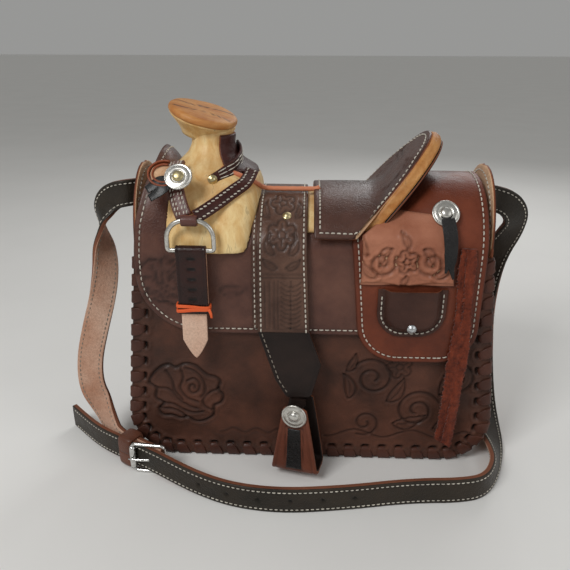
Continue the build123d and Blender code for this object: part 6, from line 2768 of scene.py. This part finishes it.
    def panel(self) -> None:
        """Leather under the fender that narrows to the stirrup's bolt, near black: the fender
        leather in painted shade.
        """
        z = self.panel_end + edge_steps(124.0 - self.panel_end, 1.6)
        left = np.interp(z, [66.7, 68.5, 80.0, 116.0, 124.0], [-15.5, -18.0, -25.5, -38.6, -37.5])
        right = np.interp(z, [66.7, 68.5, 92.0, 116.0, 124.0], [-1.0, 1.5, 8.4, -0.8, -5.5])
        x = spread(left, right, 34.0, 1.5)
        away = rim_away(x, z)
        flat = self.panel_y - np.clip(self.step_z - z, 0, 60) * self.panel_lean
        keep = (z > 69) & (z < 118)
        seam = np.stack([left + 2.9, flat - 1.15, z], -1)[keep]
        z = z[:, None] + 0 * x
        y = flat[:, None] + 0.5 * np.sin(z / 8) * np.sin(x / 9)
        grain = y - 1.3 + rolled(away, 1.0) + 0.3 * ridge(away, 2.6, 0.7)
        parts = Parts().shell(np.stack([x, grain, z], -1),
                              np.stack([x, y + 1.0 - rolled(away, 0.6), z], -1),
                              0.4 * ridge(away, 2.6, 0.8))
        pulled = math.atan(self.panel_lean)
        parts.stitches(resample(seam, 1.5), (0.0, -math.cos(pulled), -math.sin(pulled)), 3, 4.2,
                       3.0, 0.42)
        self.make(parts, "fender_under_panel", (DARK_AND_SHADE, FLESH, EDGE, DARK_THREAD), "fender",
                  "fender_panel")

    def world(self, x: Points, y: Points, z: Points) -> Points:
        """Points of the stirrup's own axes carried to their place.

        Args:
            x: distance across its branches from their middle.
            y: distance towards its back branch from the middle.
            z: height in mm.

        Returns:
            The points in mm.
        """
        c, s = math.cos(self.stirrup_turn), math.sin(self.stirrup_turn)
        at_x, at_y = self.stirrup_at
        return np.stack(np.broadcast_arrays(at_x + x * c - y * s, at_y + x * s + y * c, z), -1)

    def width(self, z: Points) -> Points:
        """Width of a branch of the stirrup at a height."""
        share = np.clip((self.stirrup_top - z) / (self.stirrup_top - self.foot), 0, 1)
        return self.neck_width + (self.foot_width - self.neck_width) * share**0.92

    def stirrup(self, *nodes: str) -> None:
        """Leather-covered stirrup: two branches and a thick tread, bent from one strip.

        Args:
            nodes: names on the front of the nodes it stands for.
        """
        h, r, bottom = self.depth / 2, self.foot_bend, self.foot + self.foot_bend
        quarter = np.linspace(0, math.pi / 2, 9)
        line = resample(np.vstack([
            [(-h, z) for z in np.arange(self.stirrup_top, bottom, -1.2)],
            circle(r - h, bottom, r, quarter + math.pi),
            [(y, self.foot) for y in np.arange(r - h + 1.2, h - r, 1.2)],
            circle(h - r, bottom, r, quarter - math.pi / 2),
            [(h, z) for z in np.arange(bottom + 1.2, self.stirrup_top, 1.2)],
        ]), 1.1)
        out = tangents(line)[:, ::-1] * (1.0, -1.0)
        run = travel(line)
        ends = np.minimum(run, run[-1] - run)
        width = self.width(line[:, 1]) - 2.0 * rolled(ends, 2.5)
        x = spread(-width / 2, width / 2, 36.0, 1.3)
        away = np.minimum(width[:, None] / 2 - np.abs(x), ends[:, None])
        y, z = line[:, :1], line[:, 1:]
        front = y < 0.5 - h
        patch = np.maximum(np.abs(x) / 6.4, np.abs(z - 29.5) / 18.0)
        top = (-rolled(away, 1.3) - 0.35 * ridge(away, 3.0, 0.7)
               - 0.5 * ridge(patch, 1.06, 0.06) * front)
        low = rolled(away, 0.9) - self.wall - 0.9 * np.clip((self.foot + 4.0 - z) / 2.0, 0, 1)
        dark = np.maximum(0.3 * ridge(away, 3.0, 0.8), 0.7 * ridge(patch, 1.06, 0.07) * front)
        parts = Parts().shell(*(self.world(x, y + out[:, :1] * lift, z + out[:, 1:] * lift)
                                for lift in (top, low)), dark)
        self.inlay(parts)
        self.make(parts, "stirrup_leather", (STIRRUP, DARK_AND_SHADE, EDGE, BLACK), "stirrup", *nodes)

    def inlay(self, parts: Parts) -> None:
        """Glossy dark patch let into the outer branch.

        Args:
            parts: where it goes.
        """
        z = self.patch_z + edge_steps(self.patch_height, 1.6)
        half = 6.0 - 1.2 * np.clip((z - self.patch_z) / self.patch_height, 0, 1)
        x = spread(-half, half, 12.0, 1.3)
        away = rim_away(x, z)
        z, face = z[:, None], -self.depth / 2
        y = face - 0.75 + rolled(away, 0.7) + 0.15 * np.sin(z / 3) * np.sin(x)
        parts.shell(self.world(x, y, z), self.world(x, face + 0.6, z), slots=(3, 3, 3))

    def concho(self) -> None:
        """Concho over the bolt's head."""
        spot = self.world(0.0, -self.depth / 2 - 0.1, self.bolt_z)
        out = (math.sin(self.stirrup_turn), -math.cos(self.stirrup_turn), 0.0)
        self.make(Parts().lathe(concho_profile(0.2), axes(spot, out), 56), "stirrup_rosette",
                  (NICKEL,), "stirrup", "stirrup_concho")


# ---- the whole ----------------------------------------------------------------------
def main() -> None:
    """Makes the studio and every piece."""
    logging.basicConfig(level=logging.INFO, format="%(name)s: %(message)s")
    Studio().build()
    ShoulderStraps().build()
    bag = BagBody()
    bag.build()
    Lacing(bag).build()
    FlapSkirts().build()
    pommel = Pommel()
    pommel.build()
    Rigging(pommel).build()
    SeatCantle().build()
    RearPocket().build()
    for side in Side:
        Fender(side).build()


if __name__ == "__main__":
    main()
